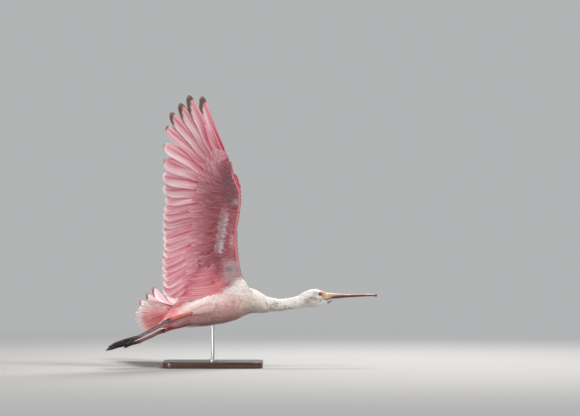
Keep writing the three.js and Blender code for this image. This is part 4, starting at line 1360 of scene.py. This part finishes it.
def bevel_edges(obj, wanted, width, segments):
    place_mesh(obj)
    bpy.ops.object.mode_set(mode="EDIT")
    bpy.ops.mesh.select_mode(type="EDGE")
    bpy.ops.mesh.select_all(action="DESELECT")
    bpy.ops.object.mode_set(mode="OBJECT")
    co = mesh_points(obj.data)
    for edge in obj.data.edges:
        edge.select = bool(wanted(co[edge.vertices[0]], co[edge.vertices[1]]))
    bpy.ops.object.mode_set(mode="EDIT")
    bpy.ops.mesh.bevel(offset=width, segments=segments, affect="EDGES")
    bpy.ops.object.mode_set(mode="OBJECT")


def finish_stand(obj, material, slot, *nodes):
    bpy.ops.object.shade_smooth_by_angle(angle=math.radians(40))
    dress(obj, None, material, slot, *nodes)


def cylinder(name, sides, radius, low, high):
    """An upright cylinder on the rod's line, from one height to another in millimetres."""
    place = (0, BIRD_Y / 1000, (low + high) / 2000)
    options = dict(vertices=sides, radius=radius / 1000, depth=(high - low) / 1000, location=place)
    return fresh(name, bpy.ops.mesh.primitive_cylinder_add, **options)


size = tuple(BASE[key] / 1000 for key in ("long", "deep", "thick"))
board = dict(size=1, location=(0, 0, size[2] / 2), scale=size)
board = fresh("stand_board", bpy.ops.mesh.primitive_cube_add, **board)
bevel_edges(board, lambda a, b: abs(a[2] - b[2]) > 0.01, BASE["corner"] / 1000, 10)
bevel_edges(board, lambda a, b: abs(a[2] - b[2]) < 1e-6, BASE["bevel"] / 1000, 4)
finish_stand(board, WOOD, "base_wood", "stand_base")

rod_foot = BASE["thick"] + ROD["gap"]
rod = cylinder("stand_post", 40, ROD["radius"], rod_foot, ROD["top"])
place_mesh(rod)
finish_stand(rod, STEEL, "rod_steel", "stand_rod")
collar = cylinder("stand_collar", 48, COLLAR["radius"], rod_foot, rod_foot + COLLAR["height"])
collar_middle = (rod_foot + COLLAR["height"] / 2) / 1000
bevel_edges(collar, lambda a, b: min(a[2], b[2]) > collar_middle, COLLAR["bevel"] / 1000, 3)
finish_stand(collar, STEEL, "rod_steel")

# %% [markdown]
# ## Floor, light and camera
# A pale floor fades into the backdrop far away, so that no edge shows. A large soft key light stands high on
# the right, where the sun is in the photo, with a weak fill from the left. The camera is far away on a long
# lens and level with the wing.

# %% Floor and backdrop
BACKDROP = (0.86, 0.87, 0.88)
BACKDROP_LIGHT = 0.52
FADE_START, FADE_END = 0.5, 4.0
disc = dict(vertices=96, radius=90, fill_type="NGON", location=(0, 0, -0.0005))
floor = fresh("floor", bpy.ops.mesh.primitive_circle_add, **disc)
values = {"Roughness": 1.0, "Specular IOR Level": 0.0, "Emission Color": (*BACKDROP, 1)}
FLOOR, tree, surface = new_material("pale_floor", values)
where = node(tree, "TexCoord").outputs["Object"]
away = node(tree, "VectorMath", {0: where}, operation="LENGTH").outputs["Value"]
fade = {"From Min": FADE_START, "From Max": FADE_END, "Value": away}
fade = node(tree, "MapRange", fade, interpolation_type="SMOOTHSTEP").outputs[0]
tone = {"Factor": fade, "A": (0.42, 0.415, 0.41, 1), "B": (0, 0, 0, 1)}
tone = node(tree, "Mix", tone, data_type="RGBA").outputs["Result"]
tree.links.new(tone, surface["Base Color"])
tree.links.new(calc(tree, "MULTIPLY", fade, BACKDROP_LIGHT), surface["Emission Strength"])
floor.data.materials.append(FLOOR)
floor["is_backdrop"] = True


# %% Light and camera
def area_light(name, place, aim, size, power, colour=(1, 1, 1)):
    lamp = bpy.data.lights.new(name, "AREA")
    lamp.shape, lamp.size, lamp.energy, lamp.color = "DISK", size, power, colour
    obj = bpy.data.objects.new(name, lamp)
    bpy.context.collection.objects.link(obj)
    x, y, z = np.array(aim) - np.array(place)
    obj.location = place
    obj.rotation_euler = (math.atan2(math.hypot(x, y), -z), 0, math.atan2(y, x) - math.pi / 2)
    return obj


area_light("key", (1.7, -1.5, 3.0), (0.05, 0, 0.35), 1.1, 88, (1, 0.98, 0.95))
area_light("fill", (-2.2, -3.0, 1.0), (0.0, 0, 0.35), 2.2, 24, (0.95, 0.97, 1))
tail_lamp = area_light("tail_fill", (-1.3, -1.5, 0.3), (-0.26, 0, 0.15), 0.3, 0.55, (1, 0.96, 0.94))
tail_lamp.data.spread = math.radians(24)
area_light("rim", (0.9, 1.6, 2.6), (0.05, 0, 0.4), 1.2, 90)
world = bpy.data.worlds.new("studio")
world.use_nodes = True
background = world.node_tree.nodes["Background"].inputs
background["Color"].default_value, background["Strength"].default_value = (*BACKDROP, 1), BACKDROP_LIGHT
bpy.context.scene.world = world
bpy.context.scene.view_settings.view_transform = "Standard"

MM_PER_PIXEL, PHOTO_WIDTH, FAR_AWAY, SENSOR = 3.0, 580, 12.0, 36
lens = bpy.data.cameras.new("camera")
lens.sensor_width = SENSOR
lens.lens = SENSOR * FAR_AWAY / (PHOTO_WIDTH * MM_PER_PIXEL / 1000)
lens.clip_end = 200
camera = bpy.data.objects.new("camera", lens)
bpy.context.collection.objects.link(camera)
camera.location = (0.231, -FAR_AWAY, 0.477)
camera.rotation_euler = (math.radians(90), 0, 0)
bpy.context.scene.camera = camera
print("lens", round(lens.lens, 1), "mm")

# %% Keep both boxes and finish
look_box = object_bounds()
print("cad", [tuple(round(x, 3) for x in c) for c in cad_box])
print("visual", [tuple(round(x, 3) for x in c) for c in look_box])
